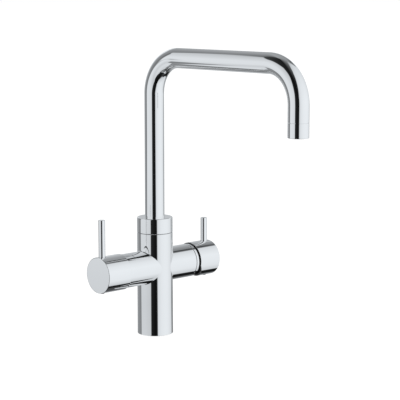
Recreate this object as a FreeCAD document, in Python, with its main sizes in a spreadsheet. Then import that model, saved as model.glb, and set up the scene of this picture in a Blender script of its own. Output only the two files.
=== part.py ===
import FreeCAD, Part
import math
import os
import re
import Sketcher

# Kitchen tap for hot, cold and filtered water: a cross-shaped body that is bolted to a worktop,
# a swivelling spout with a second tube inside it, a quarter-turn valve on the left arm and a
# tilting single-lever mixer on the right arm.
#
# Frame: millimetres, +Z up, origin at the centre of the base's underside. The arms lie along X,
# with the filtered water handle at -X and the mixer at +X, and the spout points to -Y.
# Pieces on an arm are drawn with X as the distance out from the column's axis; those of the
# left arm are turned half round by their Placement.

Vector = FreeCAD.Vector
SAME_PLACE = 1e-4
QUARTER = math.pi / 2
JET_COUNT = 12
NOTCH_COUNT = 4

SIZES = {
    # column and arms
    "body_radius": 22.8,
    "seam_height": 131.9,
    "seam_gap": 0.6,
    "arm_height": 87.5,
    "arm_radius": 21.5,
    "left_arm_end": 57.2,
    "right_arm_end": 53.6,
    "crossing_round": 1.2,
    "edge_break": 0.5,
    # clearances
    "running_gap": 0.05,
    "seat_gap": 0.02,
    "free_gap": 0.3,
    # worktop side of the body
    "hose_circle": 10.5,
    "hose_hole_radius": 4.5,
    "hose_hole_depth": 14.0,
    "stud_pitch": 25.0,
    "stud_offset": 7.0,
    "stud_hole_radius": 2.5,
    "stud_hole_depth": 16.0,
    "base_seal_radius": 19.9,
    "base_seal_wire": 1.2,
    # waterways
    "waterway_radius": 3.0,
    "waterway_circle": 9.3,
    "filtered_way_radius": 2.0,
    "filtered_way_x": 8.5,
    "filtered_riser_x": 17.5,
    "mixed_riser_x": 9.0,
    "port_drop": 4.0,
    "port_rise": 9.0,
    # swivel between body and spout
    "nipple_radius": 14.0,
    "nipple_height": 13.2,
    "nipple_bore": 9.0,
    "nipple_thread_radius": 12.5,
    "nipple_thread_length": 9.0,
    "nipple_seal_wire": 1.0,
    "nipple_seal_low": 2.4,
    "nipple_seal_high": 11.0,
    "retaining_groove_level": 6.8,
    "retaining_groove_width": 4.8,
    "retaining_groove_depth": 1.6,
    "chamber_radius": 10.0,
    "chamber_depth": 2.0,
    "spigot_radius": 2.95,
    "spigot_thread_radius": 3.6,
    "spigot_thread_length": 4.0,
    "spigot_length": 18.0,
    "spigot_bore": 1.9,
    # spout
    "collar_height": 19.5,
    "collar_round": 1.2,
    "collar_web": 4.6,
    "tube_radius": 12.5,
    "tube_wall": 1.25,
    "bend_radius": 46.2,
    "reach": 249.9,
    "run_height": 355.2,
    "inner_tube_radius": 4.0,
    "inner_tube_wall": 1.0,
    "inner_tube_overlap": 12.0,
    "grub_radius": 2.5,
    "grub_tip_radius": 1.9,
    "grub_tip_length": 1.6,
    "grub_socket_flats": 2.5,
    "grub_socket_depth": 2.4,
    # aerator
    "outlet_height": 271.7,
    "aerator_shell_length": 17.7,
    "aerator_seam_gap": 0.4,
    "aerator_bore": 9.7,
    "aerator_lip_bore": 8.8,
    "aerator_lip": 1.4,
    "aerator_thread_length": 6.0,
    "aerator_round": 0.9,
    "insert_height": 10.0,
    "insert_sleeve_depth": 7.0,
    "jet_radius": 0.8,
    "jet_circle": 6.6,
    "washer_height": 2.0,
    # both handles
    "cap_radius": 22.7,
    "cap_wall": 2.4,
    "cap_end": 93.9,
    "cap_round": 0.7,
    "lever_radius": 4.2,
    "lever_round": 0.6,
    "lever_seat": 19.0,
    "lever_thread_radius": 2.5,
    "lever_thread_length": 6.0,
    "plug_radius": 2.9,
    "plug_proud": 1.0,
    "plug_height": 2.2,
    # filtered water handle and valve, measured out from the column's axis
    "filter_cap_rim": 57.7,
    "filter_hub_face": 74.0,
    "filter_lever_x": 87.0,
    "filter_lever_top": 69.2,
    "filter_seat_x": 13.5,
    "filter_seat_register": 2.0,
    "filter_nose_radius": 8.8,
    "filter_thread_radius": 10.4,
    "filter_recess_x": 43.5,
    "filter_recess_radius": 16.5,
    "filter_flange_flats": 22.0,
    "filter_flange_height": 5.5,
    "filter_neck_radius": 8.0,
    "filter_neck_end": 66.0,
    "filter_cavity_radius": 7.5,
    "filter_cavity_end": 27.0,
    "filter_seal_height": 1.2,
    "filter_disc_height": 3.4,
    "filter_port_radius": 1.7,
    "filter_port_offset": 3.6,
    "filter_window_width": 6.0,
    "filter_window_length": 4.0,
    "spindle_radius": 4.0,
    "spindle_head_radius": 6.6,
    "spindle_end": 89.6,
    "spindle_flat": 3.2,
    "spindle_seal_wire": 0.9,
    "spindle_seal_first": 36.0,
    "spindle_seal_second": 42.0,
    "bush_radius": 6.5,
    "bush_start": 70.0,
    # mixer handle and cartridge, measured out from the column's axis
    "mixer_pocket_floor": 22.0,
    "mixer_pocket_radius": 17.6,
    "cartridge_radius": 17.4,
    "cartridge_foot": 4.0,
    "cartridge_seal_height": 0.9,
    "port_seal_width": 1.1,
    "cartridge_shoulder_x": 45.0,
    "cartridge_cavity_radius": 15.5,
    "cartridge_nose_radius": 12.6,
    "cartridge_nose_end": 57.0,
    "fixed_disc_height": 4.0,
    "moving_disc_radius": 11.4,
    "moving_disc_height": 3.4,
    "moving_disc_recess": 1.4,
    "moving_disc_hollow": 7.0,
    "carrier_height": 5.4,
    "carrier_socket_depth": 3.0,
    "rotor_radius": 10.5,
    "rotor_flange_radius": 13.6,
    "rotor_flange_height": 2.2,
    "rotor_end": 58.0,
    "slot_low": 6.4,
    "slot_high": 7.2,
    "pivot_x": 50.0,
    "pivot_pin_radius": 2.0,
    "stem_width": 6.0,
    "stem_height": 7.0,
    "stem_tip_height": 5.0,
    "stem_shank": 8.0,
    "stem_shank_start": 61.0,
    "stem_end": 89.6,
    "nut_thread_radius": 17.45,
    "nut_head_radius": 16.8,
    "nut_end": 57.4,
    "nut_notch_width": 4.0,
    "nut_notch_depth": 2.0,
    "ring_start": 54.2,
    "ring_end": 57.9,
    "mixer_cap_rim": 60.3,
    "mixer_hub_face": 79.0,
    "mixer_lever_x": 85.6,
    "mixer_lever_top": 53.5,
    "relief_start": 5.0,
    "relief_depth": 8.4,
}

# Sizes that follow from the driving ones, as expressions.
DERIVED = {
    "body_top": "seam_height - seam_gap / 2",
    "collar_bottom": "seam_height + seam_gap / 2",
    "collar_top": "seam_height + collar_height",
    "collar_bore": "nipple_radius + running_gap",
    "collar_ceiling": "collar_top - collar_web",
    "nipple_top": "body_top + nipple_height",
    "nipple_foot": "body_top - nipple_thread_length",
    "chamber_floor": "nipple_foot - chamber_depth",
    "spigot_foot": "chamber_floor - spigot_thread_length",
    "spigot_top": "chamber_floor + spigot_length",
    "filtered_cross_level": "spigot_foot - 2 * filtered_way_radius",
    "groove_level": "body_top + retaining_groove_level",
    "hose_x": "hose_circle * cos(60 deg)",
    "hose_y": "hose_circle * sin(60 deg)",
    "waterway_x": "waterway_circle * cos(60 deg)",
    "waterway_y": "waterway_circle * sin(60 deg)",
    "base_groove_depth": "2 * base_seal_wire + seat_gap",
    "tube_bore": "tube_radius - tube_wall",
    "tube_foot": "collar_ceiling + free_gap",
    "aerator_seam": "outlet_height + aerator_shell_length",
    "tube_end": "aerator_seam + aerator_seam_gap / 2",
    "aerator_top": "aerator_seam - aerator_seam_gap / 2",
    "inner_tube_bore": "inner_tube_radius - inner_tube_wall",
    "inner_tube_foot": "spigot_top - inner_tube_overlap",
    "insert_foot": "outlet_height + aerator_lip",
    "insert_top": "insert_foot + insert_height",
    "inner_tube_end": "insert_top - insert_sleeve_depth + seat_gap",
    "cap_bore": "cap_radius - cap_wall",
    "plug_top": "cap_radius + plug_proud",
    "plug_foot": "plug_top - plug_height",
    "lever_thread_foot": "lever_seat - lever_thread_length",
    "filter_nose_start": "filter_seat_x + filter_seal_height",
    "filter_disc_start": "filter_nose_start + seat_gap",
    "filter_disc_face": "filter_disc_start + filter_disc_height",
    "spindle_start": "filter_disc_face + filter_disc_height + 2 * seat_gap",
    "cartridge_start": "mixer_pocket_floor + cartridge_seal_height",
    "housing_start": "cartridge_start + cartridge_foot",
    "moving_disc_start": "housing_start + fixed_disc_height + seat_gap",
    "carrier_start": "moving_disc_start + moving_disc_height",
    "carrier_end": "carrier_start + carrier_height",
    "rotor_start": "carrier_end + free_gap",
    "cartridge_cavity_end": "rotor_start + rotor_flange_height + running_gap",
    "fixed_disc_radius": "cartridge_cavity_radius - running_gap",
}

DOC = FreeCAD.newDocument("filtered_water_tap")
SHEET = DOC.addObject("Spreadsheet::Sheet", "Sizes")
WORD = re.compile(r"[a-z_]{2,}")


def fill_sheet():
    """Write each driving dimension into the sheet: its word, then its aliased value."""
    for row, (word, size) in enumerate(SIZES.items(), 1):
        SHEET.set(f"A{row}", word)
        SHEET.set(f"B{row}", str(size))
        SHEET.setAlias(f"B{row}", word)
    DOC.recompute()


def bound(text):
    """Turn an expression in the words above into one that reads the sheet."""
    def swap(match):
        word = match.group(0)
        if word in DERIVED:
            return f"({bound(DERIVED[word])})"
        return f"Sizes.{word}" if word in SIZES else word
    return WORD.sub(swap, text)


def number(text):
    """The present value of an expression."""
    return float(SHEET.evalExpression(bound(text)))


# --- sketch helpers -------------------------------------------------------------------------

def pin_point(sketch, geometry, point, across, up):
    """Tie one point of a sketch to two lengths, given as expressions."""
    for kind, axis, text in (("DistanceX", -2, across), ("DistanceY", -1, up)):
        if text == "0":
            sketch.addConstraint(Sketcher.Constraint("PointOnObject", geometry, point, axis))
            continue
        index = sketch.addConstraint(Sketcher.Constraint(kind, -1, 1, geometry, point, number(text)))
        sketch.setExpression(f"Constraints[{index}]", bound(text))


def draw_polygon(sketch, corners):
    """Closed outline of straight lines through corners, each a pair of expressions."""
    points = [Vector(number(across), number(up), 0) for across, up in corners]
    first = sketch.GeometryCount
    count = len(points)
    for i in range(count):
        sketch.addGeometry(Part.LineSegment(points[i], points[(i + 1) % count]))
    for i in range(count):
        follower = first + (i + 1) % count
        sketch.addConstraint(Sketcher.Constraint("Coincident", first + i, 2, follower, 1))
    for i, (across, up) in enumerate(corners):
        pin_point(sketch, first + i, 1, across, up)


def draw_circle(sketch, across, up, radius):
    """Circle with its centre and radius given as expressions."""
    centre = Vector(number(across), number(up), 0)
    index = sketch.addGeometry(Part.Circle(centre, Vector(0, 0, 1), number(radius)))
    pin_point(sketch, index, 3, across, up)
    size = sketch.addConstraint(Sketcher.Constraint("Radius", index, number(radius)))
    sketch.setExpression(f"Constraints[{size}]", bound(radius))


def draw_hexagon(sketch, across, up, flats):
    """Regular hexagon of a given width across flats, with its centre given as expressions."""
    corners = []
    for i in range(6):
        reach = f"({flats}) / 2 / cos(30 deg)"
        corners.append((f"{across} + {reach} * cos({60 * i + 30} deg)",
                        f"{up} + {reach} * sin({60 * i + 30} deg)"))
    draw_polygon(sketch, corners)


def sketch_on(body, plane, offset="0"):
    """Empty sketch on one of the body's origin planes, moved along its normal by offset."""
    sketch = body.newObject("Sketcher::SketchObject", "Sketch")
    origin = [item for item in body.Origin.OriginFeatures if item.Role == plane][0]
    sketch.AttachmentSupport = [(origin, "")]
    sketch.MapMode = "FlatFace"
    if offset != "0":
        sketch.setExpression("AttachmentOffset.Base.z", bound(offset))
    return sketch


# --- body helpers ---------------------------------------------------------------------------

def new_body(name, out="0", up="0", turned=False):
    """Empty body that carries the sub-part's name and place."""
    body = DOC.addObject("PartDesign::Body", name)
    body.Label = name
    half_turn = FreeCAD.Rotation(Vector(0, 0, 1), 180 if turned else 0)
    body.Placement = FreeCAD.Placement(Vector(0, 0, 0), half_turn)
    body.setExpression("Placement.Base.x", bound(out))
    body.setExpression("Placement.Base.z", bound(up))
    return body


def arm_body(name, left=False):
    """Body on an arm's axis, with X as the distance out from the column."""
    return new_body(name, up="arm_height", turned=left)


def turn(body, axis, outline, cut=False):
    """Revolve an outline of (along, out) pairs about X or Z, as a solid or as a groove."""
    sketch = sketch_on(body, "XZ_Plane")
    if axis == "X":
        draw_polygon(sketch, outline)
    else:
        draw_polygon(sketch, [(out, along) for along, out in outline])
    revolve(body, sketch, axis, cut)


def turn_circle(body, axis, along, out, radius):
    """Revolve a circle about X or Z, as for a seal ring."""
    sketch = sketch_on(body, "XZ_Plane")
    if axis == "X":
        draw_circle(sketch, along, out, radius)
    else:
        draw_circle(sketch, out, along, radius)
    revolve(body, sketch, axis, cut=False)


def revolve(body, sketch, axis, cut):
    """Revolution or groove of a sketch, all the way round one of its own axes."""
    before = body.Shape.Volume if cut else 0
    feature = body.newObject("PartDesign::Groove" if cut else "PartDesign::Revolution", "Turned")
    feature.Profile = sketch
    feature.ReferenceAxis = (sketch, ["H_Axis" if axis == "X" else "V_Axis"])
    feature.Angle = 360
    DOC.recompute()
    if cut:
        demand_cut(body, before)


def demand_cut(body, before):
    """Stop if a cut has taken nothing away."""
    if not body.Shape.Volume < before:
        raise RuntimeError(f"a cut in {body.Label} removed nothing")


def raise_pad(body, sketch, length, midplane=False):
    """Pad a sketch along its normal, or equally both ways."""
    pad = body.newObject("PartDesign::Pad", "Pad")
    pad.Profile = sketch
    pad.Midplane = midplane
    pad.setExpression("Length", bound(length))
    DOC.recompute()


def sink(body, sketch, depth, forward=False, midplane=False):
    """Pocket a sketch against its normal, along it (forward) or equally both ways."""
    before = body.Shape.Volume
    pocket = body.newObject("PartDesign::Pocket", "Pocket")
    pocket.Profile = sketch
    pocket.Midplane = midplane
    pocket.Reversed = forward
    pocket.setExpression("Length", bound(depth))
    DOC.recompute()
    demand_cut(body, before)
    return pocket


def drill(body, plane, start, holes, radius, depth, forward=True):
    """Round holes of one radius and depth, from an offset plane."""
    sketch = sketch_on(body, plane, start)
    for across, up in holes:
        draw_circle(sketch, across, up, radius)
    return sink(body, sketch, depth, forward)


def circular_edges(body, axis, along, out):
    """Names of the body's edges that are circles about X or Z at one place."""
    names = []
    for index, edge in enumerate(body.Tip.Shape.Edges, 1):
        if not isinstance(edge.Curve, Part.Circle):
            continue
        centre = edge.Curve.Center
        place = centre.x if axis == "X" else centre.z
        here = abs(place - number(along)) < SAME_PLACE
        if here and abs(edge.Curve.Radius - number(out)) < SAME_PLACE:
            names.append(f"Edge{index}")
    return names


def dress(body, kind, names, size):
    """Fillet or chamfer of the named edges."""
    feature_base = body.Tip
    feature = body.newObject(f"PartDesign::{kind}", kind)
    feature.Base = (feature_base, names)
    feature.setExpression("Radius" if kind == "Fillet" else "Size", bound(size))
    DOC.recompute()


def round_rims(body, axis, rims, size):
    """Fillet the circular edges at each (along, out) place."""
    names = [name for along, out in rims for name in circular_edges(body, axis, along, out)]
    dress(body, "Fillet", names, size)


def chamfer_rims(body, axis, rims, size):
    """Chamfer the circular edges at each (along, out) place."""
    names = [name for along, out in rims for name in circular_edges(body, axis, along, out)]
    dress(body, "Chamfer", names, size)


def repeat_round(body, feature, axis_name, count):
    """Polar pattern of one feature about an axis of the body."""
    before = body.Shape.Volume
    pattern = body.newObject("PartDesign::PolarPattern", "Pattern")
    pattern.Originals = [feature]
    axis = [item for item in body.Origin.OriginFeatures if item.Role == axis_name][0]
    pattern.Axis = (axis, [""])
    pattern.Angle = 360
    pattern.Occurrences = count
    body.Tip = pattern
    DOC.recompute()
    demand_cut(body, before)


def tube_outline(start, end, bore, outer):
    """Outline of a plain ring or sleeve, for turn()."""
    return [(start, bore), (start, outer), (end, outer), (end, bore)]


# --- the body and its swivel ----------------------------------------------------------------

def make_body_casting():
    """Column crossed by the two arms, with pockets for both valves and the waterways."""
    body = new_body("body_casting")
    turn(body, "Z", tube_outline("0", "body_top", "0", "body_radius"))
    arms = sketch_on(body, "YZ_Plane", "-left_arm_end")
    draw_circle(arms, "0", "arm_height", "arm_radius")
    raise_pad(body, arms, "left_arm_end + right_arm_end")
    crossing = []
    for index, edge in enumerate(body.Tip.Shape.Edges, 1):
        if not isinstance(edge.Curve, (Part.Circle, Part.Line)):
            crossing.append(f"Edge{index}")
    dress(body, "Fillet", crossing, "crossing_round")
    chamfer_rims(body, "Z", [("0", "body_radius"), ("body_top", "body_radius")], "edge_break / 2")
    ends = [("-left_arm_end", "arm_radius"), ("right_arm_end", "arm_radius")]
    chamfer_rims(body, "X", ends, "edge_break / 2")
    cut_worktop_side(body)
    cut_valve_pockets(body)
    cut_waterways(body)
    cut_swivel_seat(body)
    return body


def cut_worktop_side(body):
    """Hose inlets, stud holes and the seal groove in the underside."""
    hoses = [("hose_x", "hose_y"), ("hose_x", "-hose_y"), ("-hose_circle", "0")]
    drill(body, "XY_Plane", "0", hoses, "hose_hole_radius", "hose_hole_depth")
    studs = [("-stud_offset", "stud_pitch / 2"), ("-stud_offset", "-stud_pitch / 2")]
    drill(body, "XY_Plane", "0", studs, "stud_hole_radius", "stud_hole_depth")
    groove = [("0", "base_seal_radius - base_seal_wire - seat_gap"),
              ("0", "base_seal_radius + base_seal_wire + seat_gap"),
              ("base_groove_depth", "base_seal_radius + base_seal_wire + seat_gap"),
              ("base_groove_depth", "base_seal_radius - base_seal_wire - seat_gap")]
    turn(body, "Z", groove, cut=True)


def cut_valve_pockets(body):
    """Stepped bore of the filter valve at the left and the cartridge pocket at the right."""
    axis = [("0", "arm_height")]
    register = "filter_nose_radius + running_gap"
    drill(body, "YZ_Plane", "-left_arm_end", axis, "filter_recess_radius",
          "left_arm_end - filter_recess_x")
    drill(body, "YZ_Plane", "-left_arm_end", axis, "filter_thread_radius + running_gap",
          "left_arm_end - filter_seat_x - filter_seat_register")
    drill(body, "YZ_Plane", "-left_arm_end", axis, register, "left_arm_end - filter_seat_x")
    drill(body, "YZ_Plane", "mixer_pocket_floor", axis, "mixer_pocket_radius",
          "right_arm_end - mixer_pocket_floor")


def cut_waterways(body):
    """Ways from the hose inlets to the valves and on to the spout."""
    rise = "arm_height - port_drop"
    pair = [("waterway_x", "waterway_y"), ("waterway_x", "-waterway_y")]
    drill(body, "XY_Plane", "0", pair, "waterway_radius", rise)
    level = [("waterway_y", rise), ("-waterway_y", rise)]
    drill(body, "YZ_Plane", "waterway_x", level, "waterway_radius",
          "mixer_pocket_floor - waterway_x")
    mixed = "arm_height + port_rise"
    drill(body, "YZ_Plane", "mixed_riser_x", [("0", mixed)], "waterway_radius",
          "mixer_pocket_floor - mixed_riser_x")
    drill(body, "XY_Plane", mixed, [("mixed_riser_x", "0")], "waterway_radius",
          f"chamber_floor - ({mixed})")
    drill(body, "XY_Plane", "0", [("-filtered_way_x", "0")], "filtered_way_radius", "arm_height")
    drill(body, "YZ_Plane", "-filter_seat_x", [("0", "arm_height")], "filtered_way_radius",
          "filter_seat_x - filtered_way_x")
    drill(body, "XY_Plane", "arm_height", [("-filtered_riser_x", "0")], "filtered_way_radius",
          "filtered_cross_level - arm_height")
    drill(body, "YZ_Plane", "-filtered_riser_x", [("0", "filtered_cross_level")],
          "filtered_way_radius", "filtered_riser_x")
    drill(body, "XY_Plane", "filtered_cross_level", [("0", "0")], "filtered_way_radius",
          "chamber_floor - filtered_cross_level")


def cut_swivel_seat(body):
    """Threaded seats of the nipple and of the filtered water spigot in the column's top."""
    axis = [("0", "0")]
    drill(body, "XY_Plane", "nipple_foot", axis, "nipple_thread_radius + running_gap",
          "nipple_thread_length")
    drill(body, "XY_Plane", "chamber_floor", axis, "chamber_radius", "chamber_depth")
    drill(body, "XY_Plane", "spigot_foot", axis, "spigot_thread_radius + seat_gap",
          "spigot_thread_length")


def make_base_o_ring():
    """Seal that lies in the groove under the base."""
    body = new_body("base_o_ring")
    turn_circle(body, "Z", "base_seal_wire", "base_seal_radius", "base_seal_wire")
    return body


def make_swivel_nipple():
    """Nipple that screws into the column and carries the spout's collar."""
    body = new_body("swivel_nipple")
    outline = [("nipple_foot", "nipple_bore"), ("nipple_foot", "nipple_thread_radius"),
               ("body_top", "nipple_thread_radius"), ("body_top", "nipple_radius"),
               ("nipple_top", "nipple_radius"), ("nipple_top", "nipple_bore")]
    turn(body, "Z", outline)
    chamfer_rims(body, "Z", [("nipple_top", "nipple_radius")], "edge_break")
    for level in ("nipple_seal_low", "nipple_seal_high"):
        cut_ring_groove(body, f"body_top + {level}", "nipple_seal_wire + running_gap",
                        "2 * nipple_seal_wire - running_gap / 2")
    cut_ring_groove(body, "groove_level", "retaining_groove_width / 2", "retaining_groove_depth")
    return body


def cut_ring_groove(body, level, half_width, depth):
    """Square groove round the nipple."""
    floor = f"nipple_radius - ({depth})"
    low = f"{level} - ({half_width})"
    high = f"{level} + {half_width}"
    outside = "nipple_radius + edge_break"
    turn(body, "Z", [(low, floor), (low, outside), (high, outside), (high, floor)], cut=True)


def make_swivel_o_rings():
    """The nipple's two seals, one node."""
    seals = []
    for name, level in (("lower_seal", "nipple_seal_low"), ("upper_seal", "nipple_seal_high")):
        seal = DOC.addObject("Part::Torus", name)
        seal.setExpression("Radius1", bound("nipple_radius - nipple_seal_wire + running_gap / 2"))
        seal.setExpression("Radius2", bound("nipple_seal_wire"))
        seal.setExpression("Placement.Base.z", bound(f"body_top + {level}"))
        seals.append(seal)
    return group("swivel_o_rings", seals)


def group(name, shapes):
    """Several separate solids kept together as one sub-part."""
    compound = DOC.addObject("Part::Compound", name)
    compound.Label = name
    compound.Links = shapes
    DOC.recompute()
    return compound


def make_swivel_slip_ring():
    """Thin bearing ring between the column and the collar; its edge is the joint line."""
    body = new_body("swivel_slip_ring")
    turn(body, "Z", tube_outline("body_top", "collar_bottom - running_gap",
                                 "nipple_radius + free_gap", "body_radius - 2 * edge_break"))
    return body


def make_filtered_water_spigot():
    """Pipe end on which the inner tube turns."""
    body = new_body("filtered_water_spigot")
    outline = [("spigot_foot", "spigot_bore"), ("spigot_foot", "spigot_thread_radius"),
               ("chamber_floor", "spigot_thread_radius"), ("chamber_floor", "spigot_radius"),
               ("spigot_top", "spigot_radius"), ("spigot_top", "spigot_bore")]
    turn(body, "Z", outline)
    chamfer_rims(body, "Z", [("spigot_top", "spigot_radius")], "edge_break / 2")
    return body


# --- the spout ------------------------------------------------------------------------------

def make_spout_collar():
    """Collar that turns on the nipple and holds the spout tube."""
    body = new_body("spout_collar")
    socket = "tube_radius + seat_gap"
    outline = [("collar_bottom", "collar_bore"), ("collar_bottom", "body_radius"),
               ("collar_top", "body_radius"), ("collar_top", socket),
               ("collar_ceiling", socket), ("collar_ceiling", "collar_bore")]
    turn(body, "Z", outline)
    round_rims(body, "Z", [("collar_top", "body_radius")], "collar_round")
    chamfer_rims(body, "Z", [("collar_bottom", "body_radius")], "edge_break / 2")
    drill(body, "XZ_Plane", "-nipple_radius", [("0", "groove_level")], "grub_radius + seat_gap",
          "body_radius", forward=False)
    return body


def make_spout_grub_screw():
    """Screw at the collar's back whose tip runs in the nipple's groove."""
    body = new_body("spout_grub_screw", up="groove_level")
    shape_grub_screw(body, "XZ_Plane", "nipple_radius - retaining_groove_depth + free_gap",
                     "body_radius - edge_break")
    return body


def shape_grub_screw(body, plane, tip, end):
    """Grub screw across a plane, from its socket at depth end to its reduced tip at depth tip."""
    shank = f"{tip} + grub_tip_length"
    thread = sketch_on(body, plane, f"-({end})")
    draw_circle(thread, "0", "0", "grub_radius")
    raise_pad(body, thread, f"{end} - ({shank})")
    nose = sketch_on(body, plane, f"-({shank})")
    draw_circle(nose, "0", "0", "grub_tip_radius")
    raise_pad(body, nose, f"{shank} - ({tip})")
    socket = sketch_on(body, plane, f"-({end})")
    draw_hexagon(socket, "0", "0", "grub_socket_flats")
    sink(body, socket, "grub_socket_depth", forward=True)


def draw_spout_path(sketch, foot, end):
    """Centre line: up, a bend, the level run, a bend, and down to the outlet."""
    rise, reach, bend = number("run_height"), number("reach"), number("bend_radius")
    low, last = number(foot), number(end)
    up = Vector(0, 0, 1)
    sketch.addGeometry(Part.LineSegment(Vector(0, low, 0), Vector(0, rise - bend, 0)))
    first_bend = Part.Circle(Vector(-bend, rise - bend, 0), up, bend)
    sketch.addGeometry(Part.ArcOfCircle(first_bend, 0, QUARTER))
    sketch.addGeometry(Part.LineSegment(Vector(-bend, rise, 0), Vector(bend - reach, rise, 0)))
    second_bend = Part.Circle(Vector(bend - reach, rise - bend, 0), up, bend)
    sketch.addGeometry(Part.ArcOfCircle(second_bend, QUARTER, 2 * QUARTER))
    sketch.addGeometry(Part.LineSegment(Vector(-reach, rise - bend, 0), Vector(-reach, last, 0)))
    for line, line_end, arc, arc_end in ((0, 2, 1, 1), (2, 1, 1, 2), (2, 2, 3, 1), (4, 1, 3, 2)):
        sketch.addConstraint(Sketcher.Constraint("Coincident", line, line_end, arc, arc_end))
    pin_point(sketch, 0, 1, "0", foot)
    pin_point(sketch, 0, 2, "0", "run_height - bend_radius")
    pin_point(sketch, 2, 1, "-bend_radius", "run_height")
    pin_point(sketch, 2, 2, "bend_radius - reach", "run_height")
    pin_point(sketch, 4, 1, "-reach", "run_height - bend_radius")
    pin_point(sketch, 4, 2, "-reach", end)
    for arc in (1, 3):
        centre = number("run_height - bend_radius")
        index = sketch.addConstraint(Sketcher.Constraint("DistanceY", -1, 1, arc, 3, centre))
        sketch.setExpression(f"Constraints[{index}]", bound("run_height - bend_radius"))


def bend_tube(name, foot, end, outer, bore):
    """Hollow tube along the spout's centre line."""
    body = new_body(name)
    path = sketch_on(body, "YZ_Plane")
    draw_spout_path(path, foot, end)
    section = sketch_on(body, "XY_Plane", foot)
    draw_circle(section, "0", "0", outer)
    draw_circle(section, "0", "0", bore)
    DOC.recompute()
    pipe = body.newObject("PartDesign::AdditivePipe", "Pipe")
    pipe.Profile = section
    pipe.Spine = (path, [f"Edge{index}" for index in range(1, 6)])
    DOC.recompute()
    return body


def make_aerator_housing():
    """Screwed housing at the spout's mouth, flush with the tube."""
    body = new_body("aerator_housing")
    thread = "tube_bore - running_gap"
    thread_top = "aerator_top + aerator_thread_length"
    outline = [("outlet_height", "aerator_lip_bore"), ("outlet_height", "tube_radius"),
               ("aerator_top", "tube_radius"), ("aerator_top", thread), (thread_top, thread),
               (thread_top, "aerator_bore"), ("insert_foot", "aerator_bore"),
               ("insert_foot", "aerator_lip_bore")]
    turn(body, "Z", outline)
    round_rims(body, "Z", [("outlet_height", "tube_radius")], "aerator_round")
    move_to_outlet(body)
    return body


def move_to_outlet(body):
    """Shift a body drawn on the Z axis to the spout's mouth."""
    body.setExpression("Placement.Base.y", bound("-reach"))


def make_aerator_insert():
    """Insert with a centre sleeve for the inner tube and a ring of jets round it."""
    body = new_body("aerator_insert")
    turn(body, "Z", tube_outline("insert_foot", "insert_top", "inner_tube_bore",
                                 "aerator_bore - running_gap"))
    drill(body, "XY_Plane", "insert_top", [("0", "0")], "inner_tube_radius + seat_gap",
          "insert_sleeve_depth", forward=False)
    jet = drill(body, "XY_Plane", "insert_foot", [("jet_circle", "0")], "jet_radius",
                "insert_height")
    repeat_round(body, jet, "Z_Axis", JET_COUNT)
    move_to_outlet(body)
    return body


def make_aerator_washer():
    """Flat washer on top of the insert."""
    body = new_body("aerator_washer")
    turn(body, "Z", tube_outline("insert_top", "insert_top + washer_height",
                                 "jet_circle + jet_radius", "aerator_bore - running_gap"))
    move_to_outlet(body)
    return body


# --- what both handles share ----------------------------------------------------------------

def make_cap(name, left, rim, hub_face, socket_radius, socket_end, lever_x):
    """Hollow handle cap with a solid hub, a lever seat above and a screw hole below."""
    body = arm_body(name, left)
    outline = [(rim, "cap_bore"), (rim, "cap_radius"), ("cap_end", "cap_radius"), ("cap_end", "0"),
               (socket_end, "0"), (socket_end, socket_radius), (hub_face, socket_radius),
               (hub_face, "cap_bore")]
    turn(body, "X", outline)
    round_rims(body, "X", [("cap_end", "cap_radius")], "cap_round")
    chamfer_rims(body, "X", [(rim, "cap_radius")], "edge_break / 2")
    place = [(lever_x, "0")]
    drill(body, "XY_Plane", "lever_seat", place, "lever_radius + seat_gap", "cap_radius")
    drill(body, "XY_Plane", "lever_thread_foot", place, "lever_thread_radius + seat_gap",
          "cap_radius")
    drill(body, "XY_Plane", "0", place, "grub_radius + seat_gap", "cap_radius", forward=False)
    drill(body, "XY_Plane", "-plug_foot", place, "plug_radius + seat_gap", "cap_radius",
          forward=False)
    return body


def lever_body(name, left, lever_x):
    """Body whose origin is where the lever's axis crosses the arm's."""
    return new_body(name, out=f"-({lever_x})" if left else lever_x, up="arm_height")


def make_lever_pin(name, left, lever_x, top):
    """Round lever that screws into the cap from above."""
    body = lever_body(name, left, lever_x)
    outline = [("lever_thread_foot", "0"), ("lever_thread_foot", "lever_thread_radius"),
               ("lever_seat", "lever_thread_radius"), ("lever_seat", "lever_radius"),
               (top, "lever_radius"), (top, "0")]
    turn(body, "Z", outline)
    round_rims(body, "Z", [(top, "lever_radius")], "lever_round")
    return body


def make_handle_screw(name, left, lever_x, tip):
    """Grub screw under the cap that bears on the flat of the spindle or stem."""
    body = lever_body(name, left, lever_x)
    shape_grub_screw(body, "XY_Plane", tip, "plug_foot - free_gap")
    return body


def make_screw_plug(name, left, lever_x):
    """Small domed plug that hides the screw hole and stands a little proud."""
    body = lever_body(name, left, lever_x)
    turn(body, "Z", [("-plug_top", "0"), ("-plug_top", "plug_radius"),
                     ("-plug_foot", "plug_radius"), ("-plug_foot", "0")])
    round_rims(body, "Z", [("-plug_top", "plug_radius")], "plug_proud")
    return body


# --- the filtered water valve ---------------------------------------------------------------

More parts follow.
